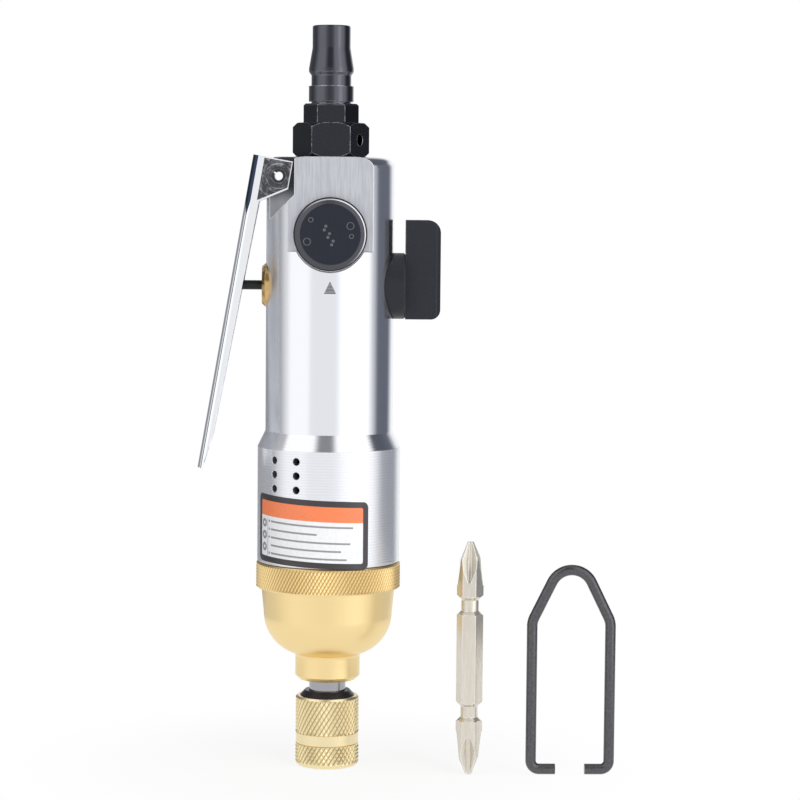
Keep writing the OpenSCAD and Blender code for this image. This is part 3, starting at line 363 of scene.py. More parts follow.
def chrome():
    """Plated sheet: bright, with a painted dark reflection along the top of its bends, and ears painted dark
    as painted shade, crossed by brushed arcs.
    """
    bright, bend_reflection = (0.90, 0.91, 0.93), (0.035, 0.052, 0.085)
    ear_shade, scratch = (0.075, 0.076, 0.084), (0.38, 0.38, 0.40)
    ear_from, ear_foot, matter_ear = 3.2 * MM, -12.6 * MM, 0.22
    made, tree, shader = material("lever_chrome", bright, 1.0, 0.07)
    xyz = parts_of(tree, place(tree))
    across, along = lever_place(tree, xyz)
    on_side = above(tree, calc(tree, "ABSOLUTE", facing(tree)[1]), 0.9)
    on_ear = both(tree, on_side, above(tree, across, ear_from), above(tree, along, ear_foot))
    arcs = tool_marks(tree, 0.3 * MM, 1, LEVER_PIVOT, 4.0)
    rubbed = calc(tree, "ADD", arcs, calc(tree, "MULTIPLY_ADD", grain(tree, 700, 3.0), 0.9, -0.45))
    lines = grain(tree, 2600, 2.0, (1, 1, 0.04))
    # The ears are painted dark as painted shade, crossed by lighter brushed arcs.
    brushed = blend_colors(tree, spread(tree, rubbed, 0.48, 0.72, 0.0, 1.0), ear_shade, scratch)
    edges = calc(tree, "MULTIPLY", edge_mask(tree, 0.22 * MM), 0.6)
    rim = calc(tree, "MAXIMUM", ear_rim(tree, across, along), edges)
    # Painted dark reflection along the top of the bends.
    plated = blend_colors(tree, lever_bend_reflection(tree, xyz[1], across, along), bright, bend_reflection)
    faces = blend_colors(tree, on_ear, plated, brushed)
    gloss = calc(tree, "MULTIPLY_ADD", on_ear, matter_ear, spread(tree, lines, 0.35, 0.7, 0.05, 0.12))
    paint(tree, shader, blend_colors(tree, both(tree, rim, on_ear), faces, bright), gloss)
    relief = calc(tree, "MULTIPLY_ADD", lines, 0.3, calc(tree, "MULTIPLY", on_ear, rubbed))
    bump(tree, shader, relief, 0.004 * MM, 0.12 * MM)
    return made


def ear_rim(tree, across, along):
    """The bright bevel along the lower and the inner edge of the lever's ears."""
    corner, foot, width = (11.1 * MM, -7.7 * MM), (3.8 * MM, -12.4 * MM), 0.5 * MM
    run = (foot[0] - corner[0], foot[1] - corner[1])
    length = math.hypot(*run)
    from_x = calc(tree, "MULTIPLY", calc(tree, "SUBTRACT", across, corner[0]), run[1] / length)
    from_z = calc(tree, "MULTIPLY", calc(tree, "SUBTRACT", along, corner[1]), -run[0] / length)
    lower = below(tree, calc(tree, "ADD", from_x, from_z), width)
    inner = above(tree, across, corner[0] - 0.3 * MM)
    top = above(tree, along, -0.35 * MM)
    return calc(tree, "MAXIMUM", calc(tree, "MAXIMUM", lower, inner), top)


def plain_black(name, color, roughness, relief, size, metallic=0.0, edge_highlight=None):
    """A dark skin with a fine grain, with a painted highlight along its edges where an edge highlight colour
    is given.
    """
    made, tree, shader = material(name, color, metallic, roughness[0], Specular_IOR_Level=0.3)
    fine = grain(tree, size, 3.0)
    skin = blend_colors(tree, contrast(tree, fine), color, scaled(color, 1.25))
    if edge_highlight:
        skin = blend_colors(tree, edge_mask(tree, 0.3 * MM), skin, edge_highlight)
    paint(tree, shader, skin, wander(tree, fine, roughness))
    bump(tree, shader, fine, relief, 0.25 * MM)
    return made


def knob_finish():
    """Black anodised knob: a navy face, a turned bevel, and a painted highlight on the rim towards the upper
    right.
    """
    face, bevel, wall = (0.030, 0.034, 0.046), (0.085, 0.088, 0.10), (0.04, 0.04, 0.045)
    # The rim's painted highlight colour, and the way towards the upper right where it is strongest.
    rubbed, highlight_side = (0.75, 0.75, 0.78), (0.75, 0.66)
    rim_in, rim_out, bevel_back_y = 9.3 * MM, 9.68 * MM, -18.35 * MM
    made, tree, shader = material("knob_anodised", face, 0.85, 0.3)
    xyz = parts_of(tree, place(tree))
    up = calc(tree, "SUBTRACT", xyz[2], REGULATOR_Z)
    radius = size_of(tree, xyz[0], up)
    outside = above(tree, radius, KNOB_BEVEL_R + 0.15 * MM)
    slanted = both(tree, outside, below(tree, xyz[1], bevel_back_y))
    upward = calc(tree, "MULTIPLY", up, highlight_side[1])
    toward_highlight = calc(tree, "DIVIDE", calc(tree, "MULTIPLY_ADD", xyz[0], highlight_side[0], upward), radius)
    rim = both(tree, above(tree, radius, rim_in), below(tree, radius, rim_out), slanted)
    # Painted highlight on the rim, fading away from the upper right.
    rim_highlight = calc(tree, "MULTIPLY", rim, spread(tree, toward_highlight, -0.35, 0.85, 0.0, 1.0))
    rings = tool_marks(tree, 0.1 * MM, 1, (0, 0, REGULATOR_Z))
    skin = blend_colors(tree, slanted, blend_colors(tree, outside, face, wall), bevel)
    gloss = wander(tree, grain(tree, 1500), (0.24, 0.34))
    paint(tree, shader, blend_colors(tree, rim_highlight, skin, rubbed), gloss)
    bump(tree, shader, rings, 0.001 * MM, 0.2 * MM)
    return made


def groove_shade(tree, xyz, bands, columns):
    """Is highest in the rising grooves of the knurled bands, and 0 outside the bands."""
    column = calc(tree, "MULTIPLY", calc(tree, "ARCTAN2", xyz[1], xyz[0]), columns / (2 * math.pi))
    shade = 0.0
    for low, high, rows in bands:
        inside = both(tree, above(tree, xyz[2], low * MM), below(tree, xyz[2], high * MM))
        row = calc(tree, "DIVIDE", calc(tree, "SUBTRACT", xyz[2], low * MM), (high - low) / rows * MM)
        phase = calc(tree, "MULTIPLY", calc(tree, "SUBTRACT", column, row), math.pi)
        rising = spread(tree, calc(tree, "COSINE", phase), -0.1, 0.95, 0.22, 1.0)
        shade = calc(tree, "ADD", shade, calc(tree, "MULTIPLY", inside, rising))
    return shade


def gold(name, color, groove, roughness, pitch, crest, valley, bands, columns):
    """Satin gold plate over turned metal, with painted shade down in the knurls' grooves."""
    made, tree, shader = material(name, color, 1.0, roughness[0])
    xyz = parts_of(tree, place(tree))
    radius = size_of(tree, xyz[0], xyz[1])
    rings = tool_marks(tree, pitch)
    outside = above(tree, radius, (valley - 0.05) * MM)
    deep = spread(tree, radius, valley * MM, (crest - 0.03) * MM, 0.9, 0.0)
    grooved = both(tree, groove_shade(tree, xyz, bands, columns), outside, deep)
    plate = blend_colors(tree, spread(tree, rings, 0.35, 0.65, 0.0, 0.12), color, groove)
    paint(tree, shader, blend_colors(tree, grooved, plate, groove), wander(tree, rings, roughness))
    bump(tree, shader, rings, 0.001 * MM)
    return made


def bit_finish():
    """Nickelled steel, slightly warm, finely ground along its hexagon."""
    color, dull, edge_highlight = (0.74, 0.69, 0.60), (0.69, 0.64, 0.56), (1.0, 0.97, 0.91)
    made, tree, shader = material("nickel_bit", color, 0.75, 0.2)
    ground = contrast(tree, grain(tree, 1500, 2.0, (1, 1, 0.12)))
    skin = blend_colors(tree, ground, color, dull)
    gloss = wander(tree, grain(tree, 1200), (0.15, 0.2))
    # Painted highlight along the hexagon's edges.
    paint(tree, shader, blend_colors(tree, edge_mask(tree, 0.4 * MM), skin, edge_highlight), gloss)
    bump(tree, shader, ground, 0.0004 * MM, 0.25 * MM)
    return made


def printed(name, color):
    """Printed film: flat ink under a thin clear coat."""
    made, tree, shader = material(name, color, 0.0, 0.35, Coat_Weight=0.3, Coat_Roughness=0.2)
    fine = grain(tree, 1200)
    faded = blend_colors(tree, wander(tree, fine, (0.0, 1.0)), color, scaled(color, 0.94))
    paint(tree, shader, faded, wander(tree, fine, (0.3, 0.42)))
    return made


BLACK_OXIDE = (0.034, 0.036, 0.043)
CASE_GOLD, CASE_GROOVE = (0.96, 0.755, 0.385), (0.52, 0.31, 0.09)
SLEEVE_GOLD, SLEEVE_GROOVE = (0.93, 0.80, 0.50), (0.50, 0.37, 0.16)

# Knurls, in millimetres: crest and valley radius, points round; low end, high end, rows
FLANGE_CREST, FLANGE_VALLEY, FLANGE_COLUMNS = 20.1, 19.8, 240
SLEEVE_CREST, SLEEVE_VALLEY, SLEEVE_COLUMNS = 8.9, 8.56, 82
FLANGE_BAND, SLEEVE_BANDS = (50.8, 57.2, 7), ((1.3, 6.3, 5), (9.6, 19.2, 9))

FINISH = {
    "housing_aluminium": housing_finish(),
    "black_steel": black_oxide("black_oxide_steel", BLACK_OXIDE, (0.26, 0.34)),
    "lever_chrome": chrome(),
    "bush_brass": turned_metal(
        "turned_brass", (0.66, 0.45, 0.20), (0.62, 0.41, 0.17), (0.16, 0.22), 0.1 * MM, 0.0006 * MM,
        axis=0, centre=(0, 0, VALVE_Z),
    ),
    "knob_black": knob_finish(),
    # The wing's lighter edge colour is a painted highlight.
    "wing_plastic": plain_black(
        "wing_moulded", (0.014, 0.016, 0.022), (0.34, 0.44), 0.004 * MM, 2200, edge_highlight=(0.07, 0.075, 0.09)
    ),
    "case_gold": gold(
        "case_gold_plate", CASE_GOLD, CASE_GROOVE, (0.32, 0.38), 0.1 * MM, FLANGE_CREST, FLANGE_VALLEY,
        (FLANGE_BAND,), FLANGE_COLUMNS,
    ),
    "sleeve_gold": gold(
        "sleeve_gold_plate", SLEEVE_GOLD, SLEEVE_GROOVE, (0.28, 0.36), 0.12 * MM, SLEEVE_CREST, SLEEVE_VALLEY,
        SLEEVE_BANDS, SLEEVE_COLUMNS,
    ),
    "ring_black": plain_black("ring_satin_black", (0.012, 0.012, 0.014), (0.26, 0.36), 0.003 * MM, 1800),
    "bright_steel": turned_metal(
        "ground_steel", (0.42, 0.42, 0.44), (0.34, 0.34, 0.36), (0.14, 0.20), 0.08 * MM, 0.001 * MM
    ),
    "dark_steel": turned_metal(
        "hardened_steel", (0.07, 0.072, 0.08), (0.05, 0.05, 0.056), (0.26, 0.4), 0.1 * MM, 0.005 * MM
    ),
    "wire_steel": plain_black(
        "wire_dark", (0.10, 0.10, 0.106), (0.22, 0.30), 0.001 * MM, 1300, metallic=0.9
    ),
    "seal_rubber": plain_black("seal_rubber", (0.018, 0.018, 0.018), (0.55, 0.7), 0.004 * MM, 2000),
    "vane_phenolic": plain_black("vane_phenolic", (0.20, 0.11, 0.05), (0.45, 0.6), 0.01 * MM, 900),
    "bush_bronze": turned_metal(
        "sintered_bronze", (0.62, 0.42, 0.22), (0.50, 0.33, 0.17), (0.34, 0.46), 0.12 * MM, 0.006 * MM
    ),
}


# Mesh helpers

def mesh_object(name, points, faces, materials, face_materials=None, smooth=None):
    mesh = bpy.data.meshes.new(name)
    mesh.from_pydata(points, [], faces)
    for item in materials:
        mesh.materials.append(item)
    for i, face in enumerate(mesh.polygons):
        face.material_index = face_materials[i] if face_materials else 0
        face.use_smooth = smooth[i] if smooth else True
    mesh.validate()
    mesh.update()
    made = bpy.data.objects.new(name, mesh)
    bpy.context.scene.collection.objects.link(made)
    return made


def sharpen(piece, degrees=32):
    """Keeps the edges crisp where two smooth faces meet at an angle."""
    piece.data.set_sharp_from_angle(angle=math.radians(degrees))


def join_loops(faces, starts, size):
    """Adds the walls between neighbouring loops of points, which start at these numbers."""
    for a, b in zip(starts, starts[1:]):
        for p in range(size):
            q = (p + 1) % size
            faces.append((a + p, b + p, b + q, a + q))


def plain_ring(radius, height):
    return (radius, radius, height)


def knurl_rings(low, high, count, crest, valley):
    """Rings whose points go in and out by turns, which makes rows of diamonds."""
    rings = []
    for j in range(count + 1):
        z = low + (high - low) * j / count
        rings.append((crest, valley, z) if j % 2 else (valley, crest, z))
    return rings


def arc_rings(radius_mid, height_mid, arc_r, start, end, steps):
    rings = []
    for i in range(steps + 1):
        angle = math.radians(start + (end - start) * i / steps)
        rings.append(plain_ring(
            radius_mid + arc_r * math.cos(angle), height_mid + arc_r * math.sin(angle)
        ))
    return rings


def turned_body(name, rings, columns, finish):
    """A closed round body. Rings are in millimetres: radius at even points, at odd points, height."""
    points = []
    for even, odd, z in rings:
        for i in range(columns):
            angle = 2 * math.pi * i / columns
            r = odd if i % 2 else even
            points.append((r * math.cos(angle) * MM, r * math.sin(angle) * MM, z * MM))
    faces, smooth = [], []
    total = len(rings)
    for j in range(total):
        here, up = rings[j], rings[(j + 1) % total]
        knurled = here[0] != here[1] and up[0] != up[1]
        for i in range(columns):
            k = (i + 1) % columns
            a, b = j * columns + i, j * columns + k
            c, d = ((j + 1) % total) * columns + k, ((j + 1) % total) * columns + i
            if not knurled:
                faces.append((a, b, c, d))
                smooth.append(True)
                continue
            own = here[1] if i % 2 else here[0]
            other = here[0] if i % 2 else here[1]
            split = ((a, b, c), (a, c, d)) if own < other else ((a, b, d), (b, c, d))
            faces.extend(split)
            smooth.extend((False, False))
    made = mesh_object(name, points, faces, [finish], smooth=smooth)
    sharpen(made)
    return made


def bent(points_uv, radius, start, tilt, base_z):
    """Wraps flat points, in millimetres, round the tool: u along the arc, v up."""
    wrapped = []
    for u, v, r in points_uv:
        heading = FRONT + start + u / radius
        z = base_z + v - u * tilt
        wrapped.append((r * math.cos(heading) * MM, r * math.sin(heading) * MM, z * MM))
    return wrapped


def bent_strip(shape, low, high, v_low, v_high, radii, wrap, steps):
    """Adds a thin closed strip round the tool. Its lower and upper edges may differ in length."""
    points, faces = shape
    first = len(points)
    outer, inner = radii
    for i in range(steps + 1):
        share = i / steps
        u_low = low[0] + (low[1] - low[0]) * share
        u_high = high[0] + (high[1] - high[0]) * share
        points.extend(wrap([
            (u_low, v_low, outer), (u_high, v_high, outer),
            (u_high, v_high, inner), (u_low, v_low, inner),
        ]))
    join_loops(faces, [first + 4 * i for i in range(steps + 1)], 4)
    last = first + 4 * steps
    faces.append((first, first + 1, first + 2, first + 3))
    faces.append((last + 3, last + 2, last + 1, last))


# Turned and knurled pieces

def hammer_case():
    rings = [plain_ring(6.5, 24.5), plain_ring(7.9, 24.5), plain_ring(9.0, 25.6), plain_ring(9.0, 30.9)]
    rings += [plain_ring(9.03, 31.15), plain_ring(9.12, 31.42), plain_ring(9.28, 31.66)]
    rings += arc_rings(5.9, 43.3, 12.0, -72.0, 0.0, 24)
    rings += [plain_ring(18.6, 50.4), plain_ring(19.6, 50.4)]
    rings += knurl_rings(*FLANGE_BAND, FLANGE_CREST, FLANGE_VALLEY)
    rings += [plain_ring(19.6, 57.6), plain_ring(17.0, 57.6), plain_ring(17.0, 69.9)]
    rings += [plain_ring(14.6, 69.9), plain_ring(14.6, 38.5), plain_ring(6.5, 38.5)]
    made = turned_body("hammer_case_knurled", rings, FLANGE_COLUMNS, FINISH["case_gold"])
    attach(made, "root")
    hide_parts("hammer_case")


def chuck_sleeve():
    rings = [plain_ring(6.3, 0.0)]
    rings += arc_rings(7.7, 1.2, 1.1, -90.0, -18.0, 5)
    rings += knurl_rings(*SLEEVE_BANDS[0], SLEEVE_CREST, SLEEVE_VALLEY)
    rings += [plain_ring(8.5, 6.4), plain_ring(8.75, 6.6), plain_ring(8.75, 9.4), plain_ring(8.62, 9.5)]
    rings += knurl_rings(*SLEEVE_BANDS[1], SLEEVE_CREST, SLEEVE_VALLEY)
    rings += [plain_ring(8.4, 19.8), plain_ring(7.6, 19.8), plain_ring(7.6, 11.7), plain_ring(5.25, 11.7)]
    rings += [plain_ring(5.25, 10.65), plain_ring(7.1, 4.73), plain_ring(7.1, 2.9), plain_ring(5.25, 2.9)]
    rings += [plain_ring(5.25, 2.1), plain_ring(6.3, 2.1)]
    made = turned_body("chuck_sleeve_knurled", rings, SLEEVE_COLUMNS, FINISH["sleeve_gold"])
    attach(made, "sleeve")
    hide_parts("chuck_sleeve")


# Label and marks

LABEL_START, LABEL_END = math.radians(-71), math.radians(33)
LABEL_R = SKIRT_R / MM
LABEL_W = (LABEL_END - LABEL_START) * LABEL_R
LABEL_H, LABEL_TILT, LABEL_BASE = 18.6, 0.041, 58.92
LABEL_BORDER, LABEL_BAND = 1.62, 4.2
BORDER_INK, FIELD_INK, BAND_INK = range(3)
INK_ROWS = (BORDER_INK, FIELD_INK, BAND_INK, BORDER_INK)


def wrap_label(flat):
    return bent(flat, LABEL_R, LABEL_START, LABEL_TILT, LABEL_BASE)


def corner_cut(u, inset, round_r):
    """How far a rounded corner pulls the label's edge in at this place."""
    near = min(u - inset, LABEL_W - inset - u)
    if near >= round_r:
        return 0.0
    return round_r - math.sqrt(max(round_r ** 2 - (round_r - max(near, 0.0)) ** 2, 0.0))


def label_columns(corner, inner_corner):
    """Places along the label, closer together in its corners."""
    steps, corner_steps = 72, 6
    columns = {round(LABEL_W * i / steps, 4) for i in range(steps + 1)}
    for i in range(corner_steps + 1):
        share = 1 - math.cos(math.pi / 2 * i / corner_steps)
        for u in (corner * share, LABEL_BORDER + inner_corner * share):
            columns |= {round(u, 4), round(LABEL_W - u, 4)}
    return sorted(columns)


def label_grid(columns, corner, inner_corner):
    """The heights of the label's edges and changes of ink, at each place along it."""
    tiny = 1e-4
    band_v = LABEL_H - LABEL_BORDER - LABEL_BAND
    grid = []
    for u in columns:
        outer = corner_cut(u, 0.0, corner)
        inside = LABEL_BORDER <= u + tiny and u - tiny <= LABEL_W - LABEL_BORDER
        inner = LABEL_BORDER + (corner_cut(u, LABEL_BORDER, inner_corner) if inside else inner_corner)
        grid.append([outer, inner, band_v, LABEL_H - inner, LABEL_H - outer])
    return grid


def label_faces(columns, rows):
    """The film's faces and their inks. The points of its back follow those of its front."""
    faces, inks = [], []
    half = len(columns) * rows
    for i in range(len(columns) - 1):
        middle = (columns[i] + columns[i + 1]) / 2
        in_border = middle < LABEL_BORDER or middle > LABEL_W - LABEL_BORDER
        for k in range(rows - 1):
            a, b = i * rows + k, (i + 1) * rows + k
            faces += [(a, b, b + 1, a + 1), (a + half, a + 1 + half, b + 1 + half, b + half)]
            inks += [BORDER_INK if in_border else INK_ROWS[k], BORDER_INK]
        for k in (0, rows - 1):
            a, b = i * rows + k, (i + 1) * rows + k
            faces.append((a, a + half, b + half, b) if k == 0 else (a, b, b + half, a + half))
            inks.append(BORDER_INK)
    for i in (0, len(columns) - 1):
        for k in range(rows - 1):
            a = i * rows + k
            wall = (a + 1, a + 1 + half, a + half)
            faces.append((a, *wall) if i == 0 else (a, *reversed(wall)))
            inks.append(BORDER_INK)
    return faces, inks


def label():
    """A film round the lower body: dark border, orange band and a white field, with no words."""
    corner, inner_corner = 1.6, 0.6
    back_r, face_r = LABEL_R + 0.01, LABEL_R + 0.09
    columns = label_columns(corner, inner_corner)
    grid = label_grid(columns, corner, inner_corner)
    points = []
    for r in (face_r, back_r):
        points += wrap_label([(u, v, r) for u, vs in zip(columns, grid) for v in vs])
    faces, inks = label_faces(columns, len(grid[0]))
    films = [
        printed("label_border", (0.034, 0.026, 0.030)), printed("label_field", (0.90, 0.90, 0.91)),
        printed("label_band", (0.95, 0.235, 0.08)),
    ]
    made = mesh_object("label_film", points, faces, films, inks)
    sharpen(made)
    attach(made, "root")


def label_rules():
    """Plain ruled lines, and a column of plain rings, on the label's white field."""
    rule_h, column_w, ring_r, ring_in, ring_pitch = 0.5, 3.4, 1.2, 0.45, 3.3
    dot_r, dot_in, dot_gap, line_half_w = 0.34, 0.05, 0.8, 0.1
    radii = (LABEL_R + 0.105, LABEL_R + 0.07)
    left = LABEL_BORDER + column_w + 1.5
    right = LABEL_W - LABEL_BORDER - 2.2
    top, pitch = LABEL_H - LABEL_BORDER - LABEL_BAND - 1.1, 2.2
    spans = ((0.97, True), (0.58, True), (0.94, True), (0.84, False), (0.90, True))
    shape = ([], [])
    for i, (span, dotted) in enumerate(spans):
        v = top - i * pitch
        ends = (left, left + (right - left) * span)
        bent_strip(shape, ends, ends, v - rule_h, v, radii, wrap_label, 44)
        if dotted:
            flat_ring(shape, left - dot_gap, v - rule_h / 2, dot_r, dot_in, radii, 14)
    line_u = LABEL_BORDER + column_w
    ends = (line_u - line_half_w, line_u + line_half_w)
    bent_strip(shape, ends, ends, LABEL_BORDER + 0.3, top + 0.5, radii, wrap_label, 1)
    for i in range(3):
        v = top - 1.0 - ring_pitch * i
        flat_ring(shape, LABEL_BORDER + column_w / 2, v, ring_r, ring_in, radii)
    made = mesh_object(
        "label_rules", *shape, [printed("label_ink", (0.30, 0.30, 0.31))], smooth=[False] * len(shape[1])
    )
    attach(made, "root")


def flat_ring(shape, u, v, outer_r, inner_r, radii, sides=24):
    """Adds a thin flat ring that lies on the label."""
    points, faces = shape
    first = len(points)
    high, low = radii
    for i in range(sides):
        angle = 2 * math.pi * i / sides
        for r, lift in ((outer_r, high), (inner_r, high), (inner_r, low), (outer_r, low)):
            points.extend(wrap_label([(u + r * math.cos(angle), v + r * math.sin(angle), lift)]))
    join_loops(faces, [first + 4 * (i % sides) for i in range(sides + 1)], 4)


def front_mark():
    """The small engraved triangle under the knob, cut as close level lines."""
    apex_z, half_w, tall, lines, line_share = 136.2, 1.65, 3.4, 9, 0.74
    pale, dark = (0.10, 0.10, 0.11), (0.04, 0.04, 0.045)
    skin = BARREL_R / MM
    shape = ([], [])

    def wrap_front(flat):
        return bent(flat, skin, 0.0, 0.0, 0.0)

    for i in range(lines):
        low = apex_z - tall * (i + 1) / lines
        high = low + tall / lines * line_share
        w_low, w_high = half_w * (apex_z - low) / tall, half_w * (apex_z - high) / tall
        bent_strip(
            shape, (-w_low, w_low), (-w_high, w_high), low, high, (skin + 0.02, skin - 0.05), wrap_front, 8
        )
    ink, tree, shader = material("engraved_grey", pale, 0.5, 0.5)
    speckled = blend_colors(tree, contrast(tree, grain(tree, 4000)), dark, pale)
    feed(tree, shader.inputs["Base Color"], speckled)
    made = mesh_object("front_mark", *shape, [ink], smooth=[False] * len(shape[1]))
    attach(made, "root")


def raised_ring(shape, centre, radius, wire, turns=28, sides=8):
    """Adds a small raised ring that faces the front."""
    points, faces = shape
    first = len(points)
    for i in range(turns):
        a = 2 * math.pi * i / turns
        for j in range(sides):
            b = 2 * math.pi * j / sides
            r = radius + wire * math.cos(b)
            points.append((
                (centre[0] + r * math.cos(a)) * MM,
                (centre[1] - wire * math.sin(b)) * MM,
                (centre[2] + r * math.sin(a)) * MM,
            ))
    join_loops(faces, [first + sides * (i % turns) for i in range(turns + 1)], sides)


def knob_marks():
    """Generic raised rings and dots on the regulator knob's face, like a plain dial."""
    ring_wire, dot_r, dot_wire, dot_aside = 0.12, 0.26, 0.2, 0.45
    y, z = KNOB_FACE_Y / MM, REGULATOR_Z / MM
    shape = ([], [])
    for x, up, r in ((-6.3, -2.0, 0.95), (-5.3, 3.9, 0.6), (5.4, 2.3, 0.95), (5.7, -0.5, 0.55)):
        raised_ring(shape, (x, y, z + up), r, ring_wire)
    for i in range(6):
        x = -1.7 + 0.5 * i + dot_aside * (-1) ** i
        raised_ring(shape, (x, y, z + 2.2 - 1.0 * i), dot_r, dot_wire, 14)
    ink, tree, shader = material("knob_moulding", (0.16, 0.165, 0.18), 0.7, 0.26)
    feed(tree, shader.inputs["Roughness"], wander(tree, grain(tree, 3000), (0.24, 0.38)))
    made = mesh_object("knob_marks", *shape, [ink])
    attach(made, "regulator")


# Loose pieces

def swept_wire(name, route, radius, sides, finish):
    """A round wire along points in the XZ plane, in millimetres, with flat ends."""
    points, faces = [], []
    last = len(route) - 1
    for i, (x, z) in enumerate(route):
        before, after = route[max(i - 1, 0)], route[min(i + 1, last)]
        heading = math.atan2(after[1] - before[1], after[0] - before[0])
        for j in range(sides):
            b = 2 * math.pi * j / sides
            out = radius * math.cos(b)
            points.append((
                (x + out * math.sin(heading)) * MM,
                KIT_Y + radius * math.sin(b) * MM,
                (z - out * math.cos(heading)) * MM,
            ))
    for i in range(last):
        for j in range(sides):
            k = (j + 1) % sides
            faces.append((i * sides + j, i * sides + k, (i + 1) * sides + k, (i + 1) * sides + j))
    faces.append(tuple(range(sides - 1, -1, -1)))
    faces.append(tuple(last * sides + j for j in range(sides)))
    made = mesh_object(name, points, faces, [finish])
    sharpen(made, 50)
    return made


def arc(x, z, radius, start, end, steps):
    angles = [math.radians(start + (end - start) * i / steps) for i in range(steps + 1)]
    return [(x + radius * math.cos(a), z + radius * math.sin(a)) for a in angles]


def hanger():
    wire_r, width, tall, gap, lean = 1.47, 24.6, 58.5, 8.2, 26.1
    foot_round, side_round, top_round = 2.3, 6.0, 6.1
    centre_x = 67.25
    side_x = width / 2 - wire_r
    apex_z = tall - wire_r - top_round
    lean_a = math.radians(lean)
    lean_z = apex_z + top_round * math.sin(lean_a)
    run = (side_x - top_round * math.cos(lean_a)) / math.sin(lean_a)
    bend_z = lean_z - run * math.cos(lean_a) - side_round * math.tan(lean_a / 2)
    right = [(gap / 2, wire_r)]
    right += arc(side_x - foot_round, wire_r + foot_round, foot_round, -90, 0, 12)
    right += arc(side_x - side_round, bend_z, side_round, 0, lean, 10)
    right += arc(0, apex_z, top_round, lean, 90, 16)
    route = right + [(-x, z) for x, z in reversed(right[:-1])]
    made = swept_wire(
        "hanger_wire", [(centre_x + x, z) for x, z in route], wire_r, 28, FINISH["wire_steel"]
    )
    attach(made, "root")
    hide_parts("hanger")


def shortening_springs():
    """Gives the two inner coil springs, whose fixed end is the high one, meshes of their own."""
    along_x, along_z = 0, 2
    for spring, joint, way, travel in (
        ("throttle_spring", "lever_pivot", along_x, STEM_TRAVEL),
        ("sleeve_spring", "sleeve_slide", along_z, SLEEVE_TRAVEL),
    ):
        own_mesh(frame["nodes"][spring])


# Studio and camera

def seen_rays(tree):
    """Is 1 for the camera's own rays, also through clear pieces; and all that the node tells."""
    rays = node(tree, "ShaderNodeLightPath").outputs
    return calc(tree, "MAXIMUM", rays["Is Camera Ray"], rays["Is Transmission Ray"]), rays


def mix_shaders(tree, share, first, second):
    mixed = node(tree, "ShaderNodeMixShader", Fac=share)
    tree.links.new(first.outputs[0], mixed.inputs[1])
    tree.links.new(second.outputs[0], mixed.inputs[2])
    return mixed.outputs[0]


def level_by_heading(tree, turn, stops):
    """The studio's brightness all round, from pairs of heading in degrees and level. Shade is bluish."""
    ramp = node(tree, "ShaderNodeValToRGB", Fac=turn)
    elements = ramp.color_ramp.elements
    while len(elements) > 1:
        elements.remove(elements[-1])
    for i, (degrees, level) in enumerate(stops):
        spot = (degrees + 180) / 360
        element = elements[0] if i == 0 else elements.new(spot)
        element.position = spot
        blue = 1.02 if level > 0.4 else (1.1 if level > 0.2 else 1.35)
        element.color = (level / 2, level * (1 + (blue - 1) / 4) / 2, level * blue / 2, 1)
    return ramp.outputs["Color"]


def studio_world():
    """White behind the object, soft boxes at both front sides and above, and darker gaps between."""
    world = bpy.data.worlds.new("studio")
    bpy.context.scene.world = world
    world.use_nodes = True
    tree = world.node_tree
    tree.nodes.clear()
    direction = parts_of(tree, node(tree, "ShaderNodeTexCoord").outputs["Generated"])
    heading = calc(tree, "ARCTAN2", direction[0], calc(tree, "MULTIPLY", direction[1], -1.0))
    turn = calc(tree, "ADD", calc(tree, "DIVIDE", heading, 2 * math.pi), 0.5)
    behind, left_gap, right_gap = 1.0, 0.29, 0.14
    left_box, front_fill, right_box, right_strip = 1.12, 0.91, 1.22, 1.95
    level_round = level_by_heading(tree, turn, [
        (-180, behind), (-172, behind), (-162, left_gap), (-104, left_gap), (-74, left_box), (-40, left_box),
        (-33, front_fill), (11, front_fill), (22, right_box), (36, right_box), (42, right_strip),
        (56, right_strip), (63, right_box), (74, right_box), (97, right_gap),
        (130, right_gap), (150, behind), (180, behind),
    ])
    high_round = level_by_heading(tree, turn, [
        (-180, 0.6), (-150, 0.20), (-112, 0.24), (-104, 0.5), (-92, 0.5), (-86, 1.2), (-32, 1.2), (-20, 0.26),
        (6, 0.26), (18, 1.25), (80, 1.25), (90, 0.09), (150, 0.12), (166, 0.6), (180, 0.6),
    ])
    dim = (0.35, 0.35, 0.35)
    high = spread(tree, direction[2], 0.28, 0.45, 0.0, 1.0)
    around = blend_colors(tree, high, level_round, high_round)
    zenith = spread(tree, direction[2], 0.86, 0.97, 0.0, 1.0)
    around = blend_colors(tree, zenith, around, dim)
    low = spread(tree, direction[2], -0.55, -0.3, 0.35, 0.0)
    around = blend_colors(tree, low, around, dim)
    light = node(tree, "ShaderNodeBackground", Color=around, Strength=2.0)
    paper = node(tree, "ShaderNodeBackground", Color=WHITE, Strength=1.0)
    seen, _ = seen_rays(tree)
    output = node(tree, "ShaderNodeOutputWorld")
    tree.links.new(mix_shaders(tree, seen, light, paper), output.inputs["Surface"])


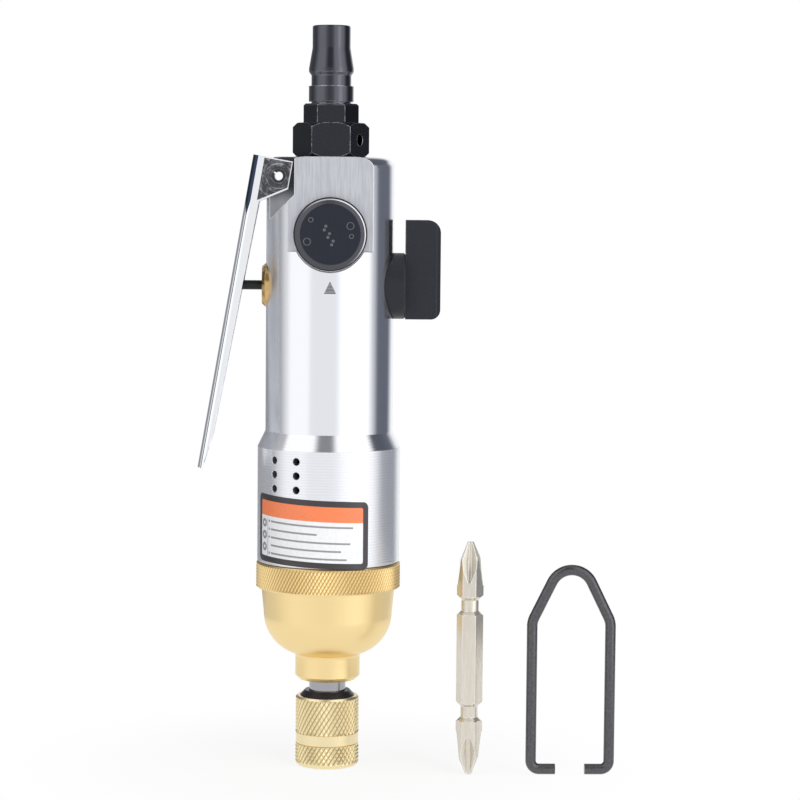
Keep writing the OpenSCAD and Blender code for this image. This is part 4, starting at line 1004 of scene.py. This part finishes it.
def floor():
    """A small white paper disc that keeps a faint shadow near the object."""
    radius, sides, level = 0.26, 96, -0.2 * MM
    fade_from, fade_to, darkest = 0.02, 0.10, 0.86
    points = [(0, 0, level)]
    for i in range(sides):
        angle = 2 * math.pi * i / sides
        points.append((radius * math.cos(angle), radius * math.sin(angle), level))
    faces = [(0, i + 1, (i + 1) % sides + 1) for i in range(sides)]
    paper, tree, shader = material("floor_paper", (0.88, 0.88, 0.88), 0.0, 0.9)
    shader.inputs["Specular IOR Level"].default_value = 0.0
    white = node(tree, "ShaderNodeEmission", Color=WHITE, Strength=1.0)
    xyz = parts_of(tree, place(tree))
    outwards = spread(tree, size_of(tree, xyz[0], xyz[1]), fade_from, fade_to, darkest, 1.0)
    seen, rays = seen_rays(tree)
    seen = calc(tree, "MAXIMUM", seen, rays["Is Glossy Ray"])
    mixed = mix_shaders(tree, calc(tree, "MULTIPLY", seen, outwards), shader, white)
    tree.links.new(mixed, tree.nodes["Material Output"].inputs["Surface"])
    made = mesh_object("floor", points, faces, [paper], smooth=[False] * len(faces))


def soft_light(name, at, target, size, power):
    lamp = bpy.data.lights.new(name, "AREA")
    lamp.shape = "RECTANGLE"
    lamp.size, lamp.size_y = size
    lamp.energy = power
    made = bpy.data.objects.new(name, lamp)
    bpy.context.scene.collection.objects.link(made)
    made.location = at
    made.rotation_mode = "QUATERNION"
    made.rotation_quaternion = (Vector(target) - Vector(at)).to_track_quat("-Z", "Y")
    made.visible_camera = False
    made.visible_glossy = False


def camera():
    """A lens from the front, level with the tool's upper half, with the photograph's slight lean."""
    pixels_per_side, focal_pixels, sensor = 800, 2702, 36.0
    at, target, roll = Vector((0, -750, 160)) * MM, Vector((19.7, 0, 102.75)) * MM, math.radians(0.5)
    lens = bpy.data.cameras.new("camera")
    lens.sensor_width = sensor
    lens.lens = focal_pixels / pixels_per_side * sensor
    lens.clip_start, lens.clip_end = 0.05, 20.0
    made = bpy.data.objects.new("camera", lens)
    bpy.context.scene.collection.objects.link(made)
    made.location = at
    made.rotation_mode = "QUATERNION"
    made.rotation_quaternion = (target - at).to_track_quat("-Z", "Y") @ Quaternion((0, 0, 1), roll)
    bpy.context.scene.camera = made


# Putting it together

camera()
studio_world()
floor()
soft_light("key", (0.45, -0.75, 0.75), (0, 0, 0.1), (0.35, 0.5), 3.0)
bpy.context.scene.view_settings.view_transform = "Standard"

for sub_part in frame["record"]["subparts"]:
    shown = frame["nodes"][sub_part["node"]]
    shown.data.materials.clear()
    shown.data.materials.append(FINISH[sub_part["material_slot"]])
frame["nodes"]["driver_bit"].data.materials[0] = bit_finish()
frame["nodes"]["reverse_pin"].data.materials[0] = FINISH["dark_steel"]
# The plug's round part gets painted highlight bands to its sides.
frame["nodes"]["air_plug"].data.materials[0] = black_oxide(
    "black_oxide_plug", BLACK_OXIDE, (0.12, 0.17), turned=(0.105, 0.107, 0.125)
)

hammer_case()
chuck_sleeve()
label()
label_rules()
front_mark()
knob_marks()
hanger()
shortening_springs()

bpy.context.view_layer.update()
